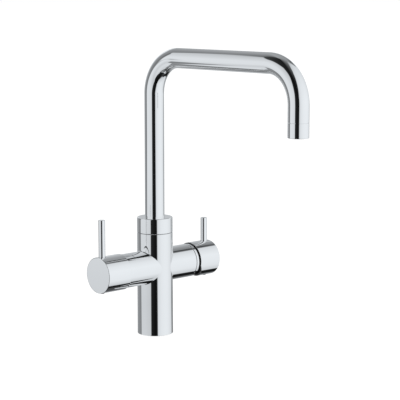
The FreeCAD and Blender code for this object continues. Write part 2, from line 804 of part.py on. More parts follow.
def make_filter_cartridge_body():
    """Headwork of the quarter-turn valve, screwed into the left arm."""
    body = arm_body("filter_cartridge_body", left=True)
    shaft = "spindle_radius + running_gap"
    flange_end = "filter_recess_x + filter_flange_height"
    outline = [("filter_nose_start", "filter_cavity_radius"),
               ("filter_nose_start", "filter_nose_radius"),
               ("filter_cavity_end + filter_seat_register", "filter_nose_radius"),
               ("filter_cavity_end + filter_seat_register", "filter_thread_radius"),
               (flange_end, "filter_thread_radius"), (flange_end, "filter_neck_radius"),
               ("filter_neck_end", "filter_neck_radius"), ("filter_neck_end", shaft),
               ("filter_cavity_end", shaft), ("filter_cavity_end", "filter_cavity_radius")]
    turn(body, "X", outline)
    flange = sketch_on(body, "YZ_Plane", "filter_recess_x")
    draw_hexagon(flange, "0", "0", "filter_flange_flats")
    draw_circle(flange, "0", "0", "filter_neck_radius")
    raise_pad(body, flange, "filter_flange_height")
    window = sketch_on(body, "XY_Plane")
    start = "spindle_start"
    end = "spindle_start + filter_window_length"
    half = "filter_window_width / 2"
    draw_polygon(window, [(start, f"-{half}"), (end, f"-{half}"), (end, half), (start, half)])
    sink(body, window, "2 * filter_thread_radius", midplane=True)
    return body


def make_filter_seat_seal():
    """Rubber ring between the valve's nose and its seat."""
    body = arm_body("filter_seat_seal", left=True)
    turn(body, "X", tube_outline("filter_seat_x", "filter_nose_start",
                                 "filter_port_offset + filter_port_radius", "filter_nose_radius"))
    return body


def make_filter_disc(name, start, height):
    """Ceramic disc with two ports; the pair closes when the ports are a quarter turn apart."""
    body = arm_body(name, left=True)
    turn(body, "X", tube_outline(start, f"{start} + {height}", "0",
                                 "filter_cavity_radius - running_gap"))
    return body


def make_filter_fixed_disc():
    """Lower ceramic disc, ports above and below the axis."""
    body = make_filter_disc("filter_fixed_disc", "filter_disc_start", "filter_disc_height")
    drill(body, "YZ_Plane", "filter_disc_start",
          [("0", "filter_port_offset"), ("0", "-filter_port_offset")], "filter_port_radius",
          "filter_disc_height")
    return body


def make_filter_moving_disc():
    """Upper ceramic disc, drawn closed: ports to the front and back."""
    start = "filter_disc_face + seat_gap"
    body = make_filter_disc("filter_moving_disc", start, "filter_disc_height")
    drill(body, "YZ_Plane", start, [("filter_port_offset", "0"), ("-filter_port_offset", "0")],
          "filter_port_radius", "filter_disc_height")
    return body


def make_filter_spindle():
    """Spindle that turns the upper disc, with two seal grooves and a flat at its end."""
    body = arm_body("filter_spindle", left=True)
    head_end = "filter_cavity_end - free_gap"
    outline = [("spindle_start", "0"), ("spindle_start", "spindle_head_radius"),
               (head_end, "spindle_head_radius"), (head_end, "spindle_radius"),
               ("spindle_end", "spindle_radius"), ("spindle_end", "0")]
    turn(body, "X", outline)
    floor = "spindle_radius - 2 * spindle_seal_wire"
    outside = "spindle_radius + edge_break"
    half = "(spindle_seal_wire + running_gap)"
    for level in ("spindle_seal_first", "spindle_seal_second"):
        low, high = f"{level} - {half}", f"{level} + {half}"
        turn(body, "X", [(low, floor), (low, outside), (high, outside), (high, floor)], cut=True)
    flat = sketch_on(body, "XZ_Plane")
    draw_polygon(flat, [("filter_hub_face", "-spindle_flat"),
                        ("filter_hub_face", "-spindle_radius - edge_break"),
                        ("spindle_end + edge_break", "-spindle_radius - edge_break"),
                        ("spindle_end + edge_break", "-spindle_flat")])
    sink(body, flat, "4 * spindle_radius", midplane=True)
    return body


def make_filter_spindle_o_rings():
    """The spindle's two seals, one node."""
    seals = []
    for name, level in (("inner_seal", "spindle_seal_first"), ("outer_seal", "spindle_seal_second")):
        seal = DOC.addObject("Part::Torus", name)
        seal.setExpression("Radius1", bound("spindle_radius - spindle_seal_wire + running_gap / 2"))
        seal.setExpression("Radius2", bound("spindle_seal_wire"))
        across = FreeCAD.Rotation(Vector(0, 1, 0), 90)
        seal.Placement = FreeCAD.Placement(Vector(0, 0, 0), across)
        seal.setExpression("Placement.Base.x", bound(f"-({level})"))
        seal.setExpression("Placement.Base.z", bound("arm_height"))
        seals.append(seal)
    return group("filter_spindle_o_rings", seals)


def make_filter_spline_bush():
    """Bush between the spindle and the cap's hub, open at the bottom for the screw."""
    body = arm_body("filter_spline_bush", left=True)
    turn(body, "X", tube_outline("bush_start", "spindle_end", "spindle_radius + seat_gap",
                                 "bush_radius"))
    drill(body, "XY_Plane", "0", [("filter_lever_x", "0")], "grub_radius + seat_gap",
          "2 * bush_radius", forward=False)
    return body


# --- the mixer cartridge --------------------------------------------------------------------

def cartridge_ports():
    """Centres of the hot, cold and mixed ports, across the cartridge's axis."""
    return [("waterway_y", "-port_drop"), ("-waterway_y", "-port_drop"), ("0", "port_rise")]


def make_mixer_port_seals():
    """Three rubber rings under the cartridge, one node."""
    rings = []
    for name, (across, up) in zip(("hot_seal", "cold_seal", "mixed_seal"), cartridge_ports()):
        outer = round_bar(f"{name}_outside", "mixer_pocket_floor", across, up,
                          "waterway_radius + port_seal_width", "cartridge_seal_height")
        inner = round_bar(f"{name}_inside", "mixer_pocket_floor", across, up,
                          "waterway_radius", "cartridge_seal_height")
        ring = DOC.addObject("Part::Cut", name)
        ring.Base = outer
        ring.Tool = inner
        rings.append(ring)
    return group("mixer_port_seals", rings)


def round_bar(name, start, across, up, radius, length):
    """Cylinder along X whose axis is off the arm's axis by across and up."""
    bar = DOC.addObject("Part::Cylinder", name)
    along_x = FreeCAD.Rotation(Vector(0, 1, 0), 90)
    bar.Placement = FreeCAD.Placement(Vector(0, 0, 0), along_x)
    bar.setExpression("Radius", bound(radius))
    bar.setExpression("Height", bound(length))
    bar.setExpression("Placement.Base.x", bound(start))
    bar.setExpression("Placement.Base.y", bound(across))
    bar.setExpression("Placement.Base.z", bound(f"arm_height + {up}"))
    return bar


def make_mixer_cartridge_base():
    """Foot of the cartridge with its three ports."""
    body = arm_body("mixer_cartridge_base")
    turn(body, "X", tube_outline("cartridge_start", "housing_start", "0", "cartridge_radius"))
    drill(body, "YZ_Plane", "cartridge_start", cartridge_ports(), "waterway_radius",
          "cartridge_foot")
    return body


def make_mixer_fixed_disc():
    """Fixed ceramic disc on the foot."""
    body = arm_body("mixer_fixed_disc")
    turn(body, "X", tube_outline("housing_start", "housing_start + fixed_disc_height", "0",
                                 "fixed_disc_radius"))
    drill(body, "YZ_Plane", "housing_start", cartridge_ports(), "waterway_radius",
          "fixed_disc_height")
    return body


def make_mixer_cartridge_housing():
    """Stepped housing: wide over the discs, narrow over the turning rotor."""
    body = arm_body("mixer_cartridge_housing")
    bearing = "rotor_radius + running_gap"
    outline = [("housing_start", "cartridge_cavity_radius"), ("housing_start", "cartridge_radius"),
               ("cartridge_shoulder_x", "cartridge_radius"),
               ("cartridge_shoulder_x", "cartridge_nose_radius"),
               ("cartridge_nose_end", "cartridge_nose_radius"), ("cartridge_nose_end", bearing),
               ("cartridge_cavity_end", bearing),
               ("cartridge_cavity_end", "cartridge_cavity_radius")]
    turn(body, "X", outline)
    return body


def make_mixer_moving_disc():
    """Sliding ceramic disc with the hollow that joins the ports."""
    body = arm_body("mixer_moving_disc")
    turn(body, "X", tube_outline("moving_disc_start", "moving_disc_start + moving_disc_height",
                                 "0", "moving_disc_radius"))
    drill(body, "YZ_Plane", "moving_disc_start", [("0", "0")], "moving_disc_hollow",
          "moving_disc_recess")
    return body


def make_mixer_disc_carrier():
    """Carrier on the sliding disc, with the socket that takes the stem's tip."""
    body = arm_body("mixer_disc_carrier")
    turn(body, "X", tube_outline("carrier_start", "carrier_end", "0", "moving_disc_radius"))
    socket = sketch_on(body, "YZ_Plane", "carrier_end")
    half_width = "(stem_width / 2 + free_gap)"
    half_height = "(stem_tip_height / 2 + 2 * free_gap)"
    draw_polygon(socket, [(f"-{half_width}", f"-{half_height}"), (half_width, f"-{half_height}"),
                          (half_width, half_height), (f"-{half_width}", half_height)])
    sink(body, socket, "carrier_socket_depth")
    return body


def make_mixer_rotor():
    """Rotor that turns with the handle and carries the stem's pivot pin."""
    body = arm_body("mixer_rotor")
    flange_end = "rotor_start + rotor_flange_height"
    outline = [("rotor_start", "0"), ("rotor_start", "rotor_flange_radius"),
               (flange_end, "rotor_flange_radius"), (flange_end, "rotor_radius"),
               ("rotor_end", "rotor_radius"), ("rotor_end", "0")]
    turn(body, "X", outline)
    chamfer_rims(body, "X", [("rotor_end", "rotor_radius")], "edge_break")
    slot = sketch_on(body, "YZ_Plane", "rotor_end")
    half = "(stem_width / 2 + free_gap / 2)"
    draw_polygon(slot, [(f"-{half}", "-slot_low"), (half, "-slot_low"),
                        (half, "slot_high"), (f"-{half}", "slot_high")])
    sink(body, slot, "rotor_end - rotor_start")
    pin = sketch_on(body, "XZ_Plane")
    draw_circle(pin, "pivot_x", "0", "pivot_pin_radius + seat_gap")
    sink(body, pin, "2 * rotor_radius", midplane=True)
    return body


def make_mixer_pivot_pin():
    """Cross pin on which the stem tilts."""
    body = arm_body("mixer_pivot_pin")
    pin = sketch_on(body, "XZ_Plane")
    draw_circle(pin, "pivot_x", "0", "pivot_pin_radius")
    raise_pad(body, pin, "2 * (rotor_radius - edge_break)", midplane=True)
    return body


def make_mixer_stem():
    """Tilting stem: tip in the carrier, pivot in the rotor, square shank in the handle."""
    body = arm_body("mixer_stem")
    tip = "carrier_end - carrier_socket_depth + 2 * free_gap"
    neck = "rotor_start"
    half_tip = "stem_tip_height / 2"
    half = "stem_height / 2"
    blade = sketch_on(body, "XZ_Plane")
    draw_polygon(blade, [(tip, f"-{half_tip}"), (neck, f"-{half_tip}"),
                         (f"{neck} + free_gap", f"-{half}"), ("stem_end", f"-{half}"),
                         ("stem_end", half), (f"{neck} + free_gap", half), (neck, half_tip),
                         (tip, half_tip)])
    raise_pad(body, blade, "stem_width", midplane=True)
    shank = sketch_on(body, "YZ_Plane", "stem_shank_start")
    side = "stem_shank / 2"
    draw_polygon(shank, [(f"-{side}", f"-{side}"), (side, f"-{side}"), (side, side), (f"-{side}", side)])
    raise_pad(body, shank, "stem_end - stem_shank_start")
    pivot = sketch_on(body, "XZ_Plane")
    draw_circle(pivot, "pivot_x", "0", "pivot_pin_radius + running_gap")
    sink(body, pivot, "2 * stem_shank", midplane=True)
    return body


def make_mixer_cartridge_nut():
    """Ring nut that clamps the cartridge, with notches for a pin spanner."""
    body = arm_body("mixer_cartridge_nut")
    bore = "cartridge_nose_radius + free_gap / 2"
    outline = [("cartridge_shoulder_x", bore), ("cartridge_shoulder_x", "nut_thread_radius"),
               ("right_arm_end", "nut_thread_radius"), ("right_arm_end", "nut_head_radius"),
               ("nut_end", "nut_head_radius"), ("nut_end", bore)]
    turn(body, "X", outline)
    notch = sketch_on(body, "YZ_Plane", "nut_end")
    half = "nut_notch_width / 2"
    inner, outer = "cartridge_nose_radius", "nut_thread_radius"
    draw_polygon(notch, [(f"-{half}", inner), (half, inner), (half, outer), (f"-{half}", outer)])
    first = sink(body, notch, "nut_notch_depth")
    repeat_round(body, first, "X_Axis", NOTCH_COUNT)
    return body


def make_mixer_trim_ring():
    """Chromed ring that covers the nut between the arm and the handle."""
    body = arm_body("mixer_trim_ring")
    turn(body, "X", tube_outline("ring_start", "ring_end", "nut_thread_radius + seat_gap",
                                 "arm_radius"))
    chamfer_rims(body, "X", [("ring_start", "arm_radius"), ("ring_end", "arm_radius")],
                 "edge_break / 2")
    return body


def make_mixer_handle_cap():
    """Right cap: a square socket for the stem and a rim cut back so that it can tilt."""
    body = make_cap("mixer_handle_cap", False, "mixer_cap_rim", "mixer_hub_face",
                    "stem_shank / 2 + seat_gap", "stem_end + seat_gap", "mixer_lever_x")
    socket = sketch_on(body, "YZ_Plane", "stem_end + seat_gap")
    side = "(stem_shank / 2 + seat_gap)"
    draw_polygon(socket, [(f"-{side}", f"-{side}"), (side, f"-{side}"), (side, side), (f"-{side}", side)])
    sink(body, socket, "stem_end + seat_gap - mixer_hub_face")
    relief = sketch_on(body, "XZ_Plane")
    slope = "relief_depth / (cap_radius - relief_start)"
    far_low = "cap_radius + edge_break"
    far_out = f"mixer_cap_rim + ({slope}) * ({far_low} - relief_start)"
    draw_polygon(relief, [("mixer_cap_rim", "-relief_start"), (far_out, f"-({far_low})"),
                          ("mixer_cap_rim", f"-({far_low})")])
    sink(body, relief, "4 * cap_radius", midplane=True)
    return body


def make_all():
    """Every sub-part, in the order in which the tap is put together."""
    return [
        make_body_casting(),
        make_base_o_ring(),
        make_swivel_nipple(),
        make_swivel_o_rings(),
        make_swivel_slip_ring(),
        make_filtered_water_spigot(),
        make_filter_cartridge_body(),
        make_filter_seat_seal(),
        make_filter_fixed_disc(),
        make_mixer_port_seals(),
        make_mixer_cartridge_base(),
        make_mixer_fixed_disc(),
        make_mixer_cartridge_housing(),
        make_mixer_cartridge_nut(),
        make_mixer_trim_ring(),
        make_spout_collar(),
        make_spout_grub_screw(),
        bend_tube("spout_tube", "tube_foot", "tube_end", "tube_radius", "tube_bore"),
        bend_tube("filtered_water_tube", "inner_tube_foot", "inner_tube_end",
                  "inner_tube_radius", "inner_tube_bore"),
        make_aerator_housing(),
        make_aerator_insert(),
        make_aerator_washer(),
        make_cap("filter_handle_cap", True, "filter_cap_rim", "filter_hub_face",
                 "bush_radius + seat_gap", "spindle_end + free_gap", "filter_lever_x"),
        make_lever_pin("filter_lever_pin", True, "filter_lever_x", "filter_lever_top"),
        make_handle_screw("filter_handle_screw", True, "filter_lever_x", "spindle_flat + seat_gap"),
        make_screw_plug("filter_screw_plug", True, "filter_lever_x"),
        make_filter_spindle(),
        make_filter_spindle_o_rings(),
        make_filter_spline_bush(),
        make_filter_moving_disc(),
        make_mixer_rotor(),
        make_mixer_pivot_pin(),
        make_mixer_handle_cap(),
        make_lever_pin("mixer_lever_pin", False, "mixer_lever_x", "mixer_lever_top"),
        make_handle_screw("mixer_handle_screw", False, "mixer_lever_x",
                          "stem_shank / 2 + seat_gap"),
        make_screw_plug("mixer_screw_plug", False, "mixer_lever_x"),
        make_mixer_stem(),
        make_mixer_disc_carrier(),
        make_mixer_moving_disc(),
    ]


def check(parts):
    """Stop if any object failed or any sub-part is not a sound shape."""
    for item in DOC.Objects:
        if "Invalid" in item.State or "Error" in item.State:
            raise RuntimeError(f"{item.Label} failed: {item.State}")
    for part in parts:
        if part.Shape.isNull() or not part.Shape.isValid() or not part.Shape.Solids:
            raise RuntimeError(f"{part.Label} is not a sound solid")


def export(parts):
    """Write one STEP file for each sub-part."""
    os.makedirs("parts", exist_ok=True)
    for part in parts:
        part.Shape.exportStep(f"parts/{part.Label}.step")
        solids = part.Shape.Solids
        print(f"{part.Label}: {len(solids)} solid(s), {part.Shape.Volume / 1000:.2f} cm3")


fill_sheet()
PARTS = make_all()
DOC.recompute()
check(PARTS)
export(PARTS)
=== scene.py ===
"""A kitchen tap for hot, cold and filtered water: its turned surfaces, finishes and studio.

Lengths are metres in the part's own frame: +Z up, the origin under the middle of the base,
the arms along X and the spout towards -Y.
"""

from __future__ import annotations

import enum
import logging
import math
from dataclasses import dataclass, field

import bmesh
import bpy
import numpy as np
from mathutils import Matrix, Vector


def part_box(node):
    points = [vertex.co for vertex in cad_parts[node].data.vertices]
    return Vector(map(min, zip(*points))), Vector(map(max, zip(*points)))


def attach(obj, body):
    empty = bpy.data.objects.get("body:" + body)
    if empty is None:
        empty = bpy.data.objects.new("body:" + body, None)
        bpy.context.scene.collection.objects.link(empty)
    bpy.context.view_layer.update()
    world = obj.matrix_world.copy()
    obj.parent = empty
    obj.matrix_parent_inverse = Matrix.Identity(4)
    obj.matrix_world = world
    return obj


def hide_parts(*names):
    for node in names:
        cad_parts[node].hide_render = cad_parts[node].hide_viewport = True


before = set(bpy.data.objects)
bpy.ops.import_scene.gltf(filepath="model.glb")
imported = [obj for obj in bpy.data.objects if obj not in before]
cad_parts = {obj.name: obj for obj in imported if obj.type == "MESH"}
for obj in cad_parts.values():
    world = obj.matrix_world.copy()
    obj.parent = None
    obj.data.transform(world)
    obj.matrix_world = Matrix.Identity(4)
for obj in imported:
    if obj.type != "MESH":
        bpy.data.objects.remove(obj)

LOG = logging.getLogger("tap")
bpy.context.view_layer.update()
MM = 0.001
MIRROR_SHARE = 0.92  # of the light that polished chrome sends back
FULL_TURN = 2.0 * math.pi
EASE = 0.15 * MM  # from the end of a straight side to the extra point that keeps its shading true
SLIDE_GAP = 0.02 * MM  # round a piece that fits closely
TOOL_REACH = 1.0 * MM  # of a cutting tool past the foot's face
Points = np.ndarray


class Axis(enum.Enum):
    """The line that a piece is turned about."""

    UP = "up"
    RIGHT = "right"
    LEFT = "left"


class Body(enum.Enum):
    """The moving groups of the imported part."""

    TAP = "tap_body"
    SPOUT = "spout"
    FILTER_HANDLE = "filter_handle"
    MIXER_ROTOR = "mixer_rotor"
    MIXER_HANDLE = "mixer_handle"
    MIXER_DISC = "mixer_disc"


# --- shader maths ---------------------------------------------------------------------------


class Wire:
    """A shader socket that takes part in arithmetic; each operator adds one Math node."""

    def __init__(self, board: Board, socket: bpy.types.NodeSocket) -> None:
        """Keep the socket and the board that its nodes go on."""
        self.board = board
        self.socket = socket

    def __add__(self, other: Wire | float) -> Wire:
        """Sum of two values."""
        return self.board.maths("ADD", self, other)

    __radd__ = __add__

    def __sub__(self, other: Wire | float) -> Wire:
        """This value less the other."""
        return self.board.maths("SUBTRACT", self, other)

    def __rsub__(self, other: Wire | float) -> Wire:
        """The other value less this one."""
        return self.board.maths("SUBTRACT", other, self)

    def __mul__(self, other: Wire | float) -> Wire:
        """Product of two values."""
        return self.board.maths("MULTIPLY", self, other)

    __rmul__ = __mul__

    def __truediv__(self, other: Wire | float) -> Wire:
        """This value over the other."""
        return self.board.maths("DIVIDE", self, other)

    def at_least(self, other: Wire | float) -> Wire:
        """The larger of two values."""
        return self.board.maths("MAXIMUM", self, other)

    def at_most(self, other: Wire | float) -> Wire:
        """The smaller of two values."""
        return self.board.maths("MINIMUM", self, other)

    def held(self) -> Wire:
        """The value kept between 0 and 1."""
        return self.at_least(0.0).at_most(1.0)


class Board:
    """The nodes of one material or of the world."""

    def __init__(self, tree: bpy.types.NodeTree) -> None:
        """Empty the tree and keep it."""
        self.tree = tree
        tree.nodes.clear()

    def node(self, kind: str, settings: dict | None = None,
             inputs: dict | None = None) -> bpy.types.Node:
        """Add any node.

        Args:
            kind: The node's type.
            settings: Its own properties; a ramp's stops come as a list of (place, colour).
            inputs: Values or wires for its sockets, by name or index.

        Returns:
            The new node.
        """
        made = self.tree.nodes.new(kind)
        for key, value in (settings or {}).items():
            if key == "stops":
                self._set_stops(made.color_ramp, value)
            else:
                setattr(made, key, value)
        for key, value in (inputs or {}).items():
            socket = made.inputs[key]
            if isinstance(value, Wire):
                self.tree.links.new(value.socket, socket)
            else:
                socket.default_value = value
        return made

    @staticmethod
    def _set_stops(ramp: bpy.types.ColorRamp, stops: list) -> None:
        """Give a ramp its stops, in order."""
        while len(ramp.elements) > 1:
            ramp.elements.remove(ramp.elements[-1])
        ramp.elements[0].position, ramp.elements[0].color = stops[0]
        for place, colour in stops[1:]:
            ramp.elements.new(place).color = colour

    def wire(self, node: bpy.types.Node, output: str | int = 0) -> Wire:
        """One output of a node, ready for arithmetic."""
        return Wire(self, node.outputs[output])

    def maths(self, operation: str, first: Wire | float, second: Wire | float = 0.0) -> Wire:
        """One Math node on two values."""
        made = self.node("ShaderNodeMath", {"operation": operation}, {0: first, 1: second})
        return self.wire(made)

    def curve(self, value: Wire, points: list) -> Wire:
        """Straight lines through (value, result) points, level beyond the first and last."""
        places, results = zip(*points)
        low, high = min(results), max(results)
        reach = high - low or 1.0
        stops = [((place - places[0]) / (places[-1] - places[0]), grey((result - low) / reach))
                 for place, result in points]
        along = (value - places[0]) / (places[-1] - places[0])
        ramp = self.node("ShaderNodeValToRGB", {"stops": stops}, {"Fac": along})
        return self.wire(ramp) * (high - low) + low

    def mix_colour(self, factor: Wire | float, first: tuple | Wire, second: tuple | Wire) -> Wire:
        """Blend of two colours."""
        made = self.node("ShaderNodeMix", {"data_type": "RGBA"}, {0: factor, 6: first, 7: second})
        return self.wire(made, 2)

    def place(self) -> Wire:
        """The point on the piece, in its own coordinates."""
        return self.wire(self.node("ShaderNodeTexCoord"), "Object")

    def noise(self, scale: float, detail: float = 3.0, stretch: tuple = (1.0, 1.0, 1.0)) -> Wire:
        """Smooth noise over the piece, from 0 to 1, squeezed along an axis by stretch."""
        turned = self.node("ShaderNodeMapping", None, {"Vector": self.place(), "Scale": stretch})
        made = self.node("ShaderNodeTexNoise", None,
                         {"Vector": self.wire(turned), "Scale": scale, "Detail": detail})
        return self.wire(made, "Fac")

    def bump(self, height: Wire, depth: float, strength: float = 1.0) -> Wire:
        """Surface relief of a given depth in metres."""
        made = self.node("ShaderNodeBump", None,
                         {"Height": height, "Distance": depth, "Strength": strength})
        return self.wire(made, "Normal")


def grey(level: float, tint: float = 0.0) -> tuple:
    """A grey, a little blue where tint is above 0."""
    return (level * (1.0 - tint), level * (1.0 - 0.4 * tint), level * (1.0 + tint), 1.0)


# --- finishes -------------------------------------------------------------------------------


@dataclass(frozen=True)
class Finish:
    """A surface finish: a principled shader whose colour, roughness and relief vary a little."""

    name: str
    dark: tuple
    light: tuple
    metallic: float = 0.0
    smooth: float = 0.3
    rough: float = 0.4
    grain: float = 900.0
    relief: float = 2.0e-6
    mottle: float = 60.0
    stretch: tuple = (1.0, 1.0, 1.0)
    coat: float = 0.0

    def material(self) -> bpy.types.Material:
        """The finish as a material; one is made for each name and then shared."""
        known = bpy.data.materials.get(self.name)
        if known:
            return known
        made = bpy.data.materials.new(self.name)
        made.use_nodes = True
        board = Board(made.node_tree)
        cloud = board.noise(self.mottle, 4.0)
        fine = board.noise(self.grain, 2.0, self.stretch)
        inputs = {
            "Base Color": board.mix_colour(cloud, self.dark, self.light),
            "Metallic": self.metallic,
            "Roughness": self.smooth + (self.rough - self.smooth) * fine,
            "Normal": board.bump(fine, self.relief),
            "Coat Weight": self.coat,
        }
        shader = board.node("ShaderNodeBsdfPrincipled", None, inputs)
        board.node("ShaderNodeOutputMaterial", None, {"Surface": board.wire(shader)})
        return made


MIRROR_CHROME = Finish("mirror_chrome", grey(MIRROR_SHARE - 0.015), grey(MIRROR_SHARE + 0.015),
                       metallic=1.0, smooth=0.004, rough=0.014, grain=240.0, relief=4.0e-8,
                       mottle=25.0)
MACHINED_BRASS = Finish("machined_brass", (0.62, 0.44, 0.19, 1.0), (0.74, 0.56, 0.28, 1.0),
                        metallic=1.0, smooth=0.22, rough=0.42, grain=1400.0, relief=6.0e-6,
                        stretch=(6.0, 1.0, 1.0))
TURNED_STEEL = Finish("turned_steel", grey(0.42), grey(0.58), metallic=1.0, smooth=0.2, rough=0.38,
                      grain=1500.0, relief=5.0e-6, stretch=(6.0, 1.0, 1.0))
SEAL_RUBBER = Finish("seal_rubber", grey(0.012), grey(0.03), smooth=0.45, rough=0.7, grain=2200.0,
                     relief=8.0e-6)
WHITE_NYLON = Finish("white_nylon", (0.74, 0.74, 0.71, 1.0), (0.84, 0.84, 0.82, 1.0), smooth=0.35,
                     rough=0.5, grain=1800.0, relief=6.0e-6)
# Dark grey nylon; on the swivel slip ring its darkness is also painted shade for the seam between collar
# and body.
GREY_NYLON_AND_SEAM_SHADE = Finish("grey_nylon", grey(0.10), grey(0.16), smooth=0.38, rough=0.55, grain=1800.0,
                    relief=6.0e-6)
CLEAR_TUBE = Finish("inner_tube_plastic", (0.62, 0.68, 0.74, 1.0), (0.72, 0.77, 0.82, 1.0),
                    smooth=0.25, rough=0.4, grain=1200.0, relief=4.0e-6)
LAPPED_CERAMIC = Finish("lapped_ceramic", (0.78, 0.75, 0.70, 1.0), (0.88, 0.86, 0.82, 1.0),
                        smooth=0.12, rough=0.22, grain=2600.0, relief=1.0e-6, coat=0.3)
DARK_PLUG = Finish("dark_plug", grey(0.03), grey(0.06), smooth=0.4, rough=0.6, grain=1600.0,
                   relief=4.0e-6)
# Painted shade: a near-black finish for the rim and inside of the handle caps, where shade falls in the
# hollow.
PAINTED_INSIDE_SHADE = Finish("painted_inside_shade", grey(0.02), grey(0.05), metallic=0.3, smooth=0.5, rough=0.75,
                  grain=1500.0, relief=6.0e-6)
# Painted shade: near-black brass for the cartridge nut, so the gap between trim ring and mixer cap shows
# dark.
GAP_SHADE_BRASS = Finish("painted_gap_shade_brass", (0.055, 0.045, 0.03, 1.0), (0.10, 0.08, 0.055, 1.0), metallic=0.8,
                    smooth=0.35, rough=0.55, grain=1400.0, relief=6.0e-6, stretch=(6.0, 1.0, 1.0))

NODE_FINISHES = {
    MACHINED_BRASS: ("swivel_nipple", "filtered_water_spigot", "filter_cartridge_body",
                     "filter_spindle"),
    # painted shade in the gap by the trim ring
    GAP_SHADE_BRASS: ("mixer_cartridge_nut",),
    TURNED_STEEL: ("spout_grub_screw", "filter_handle_screw", "mixer_handle_screw",
                   "mixer_pivot_pin", "mixer_stem"),
    SEAL_RUBBER: ("base_o_ring", "swivel_o_rings", "filter_seat_seal", "mixer_port_seals",
                  "aerator_washer", "filter_spindle_o_rings"),
    WHITE_NYLON: ("aerator_insert", "filter_spline_bush",
                  "mixer_cartridge_base", "mixer_cartridge_housing"),
    # the slip ring's dark grey is partly painted shade in the collar seam
    GREY_NYLON_AND_SEAM_SHADE: ("swivel_slip_ring", "mixer_rotor", "mixer_disc_carrier"),
    CLEAR_TUBE: ("filtered_water_tube",),
    LAPPED_CERAMIC: ("filter_fixed_disc", "filter_moving_disc", "mixer_fixed_disc",
                     "mixer_moving_disc"),
    DARK_PLUG: ("filter_screw_plug", "mixer_screw_plug"),
    MIRROR_CHROME: ("body_casting", "mixer_trim_ring", "spout_collar", "spout_tube",
                    "aerator_housing", "filter_handle_cap", "filter_lever_pin",
                    "mixer_handle_cap", "mixer_lever_pin"),
}


def dress_carried_nodes() -> None:
    """Give every carried-over node its finish."""
    for finish, names in NODE_FINISHES.items():
        for name in names:
            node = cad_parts[name]
            node.data.materials.clear()
            node.data.materials.append(finish.material())


# --- surfaces -------------------------------------------------------------------------------


def half_section(corners: list, steps: int = 8) -> Points:
    """Outline of a turned piece, with its corners rounded.

    Each corner with a rounding radius becomes an arc tangent to its two sides: the arc starts and
    ends radius / tan(half the corner's angle) from the corner. A straight side gets one more point
    a little way in from each end, so that smooth shading stays true along it.

    Args:
        corners: (along, out, rounding) in metres, in order.
        steps: Pieces in each arc.

    Returns:
        An array of (along, out) rows.
    """
    place = np.array([corner[:2] for corner in corners], float)
    arcs = []
    for i, (_, _, radius) in enumerate(corners):
        if radius <= 0.0 or i in (0, len(corners) - 1):
            arcs.append(place[i:i + 1])
            continue
        back = place[i - 1] - place[i]
        ahead = place[i + 1] - place[i]
        back /= np.linalg.norm(back)
        ahead /= np.linalg.norm(ahead)
        half = 0.5 * math.acos(float(np.clip(back @ ahead, -1.0, 1.0)))
        start = place[i] + back * radius / math.tan(half)
        end = place[i] + ahead * radius / math.tan(half)
        middle = (back + ahead) / np.linalg.norm(back + ahead)
        centre = place[i] + middle * radius / math.sin(half)
        share = np.linspace(0.0, 1.0, steps + 1)[:, None]
        sweep = math.pi - 2.0 * half
        weight = np.sin((1.0 - share) * sweep), np.sin(share * sweep)
        arc = centre + ((start - centre) * weight[0] + (end - centre) * weight[1]) / math.sin(sweep)
        arcs.append(arc)
    rows = [arcs[0]]
    for before, after in zip(arcs[:-1], arcs[1:]):
        step = after[0] - before[-1]
        length = float(np.linalg.norm(step))
        if length > 3.0 * EASE:
            rows.append(before[-1:] + step * EASE / length)
            rows.append(after[:1] - step * EASE / length)
        rows.append(after)
    return np.concatenate(rows)


def turned(section: Points, axis: Axis, centre: tuple, count: int = 192) -> Points:
    """Grid of a turned surface.

    A point at (along, out) goes round the axis at radius out: for each angle a it lies at
    along on the axis, and at out times (cos a, sin a) across it. The left arm's axis runs to -X.

    Args:
        section: (along, out) rows.
        axis: The line it is turned about.
        centre: A point of that line, where along is 0.
        count: Points round the axis.

    Returns:
        An array of (row, angle, xyz).
    """
    angle = np.linspace(0.0, FULL_TURN, count, endpoint=False)
    along = np.repeat(section[:, :1], count, axis=1)
    across = section[:, 1:] * np.cos(angle)
    aside = section[:, 1:] * np.sin(angle)
    if axis is Axis.UP:
        grid = np.stack([across, aside, along], axis=-1)
    elif axis is Axis.RIGHT:
        grid = np.stack([along, across, aside], axis=-1)
    else:
        grid = np.stack([-along, across, aside], axis=-1)
    return grid + np.array(centre)


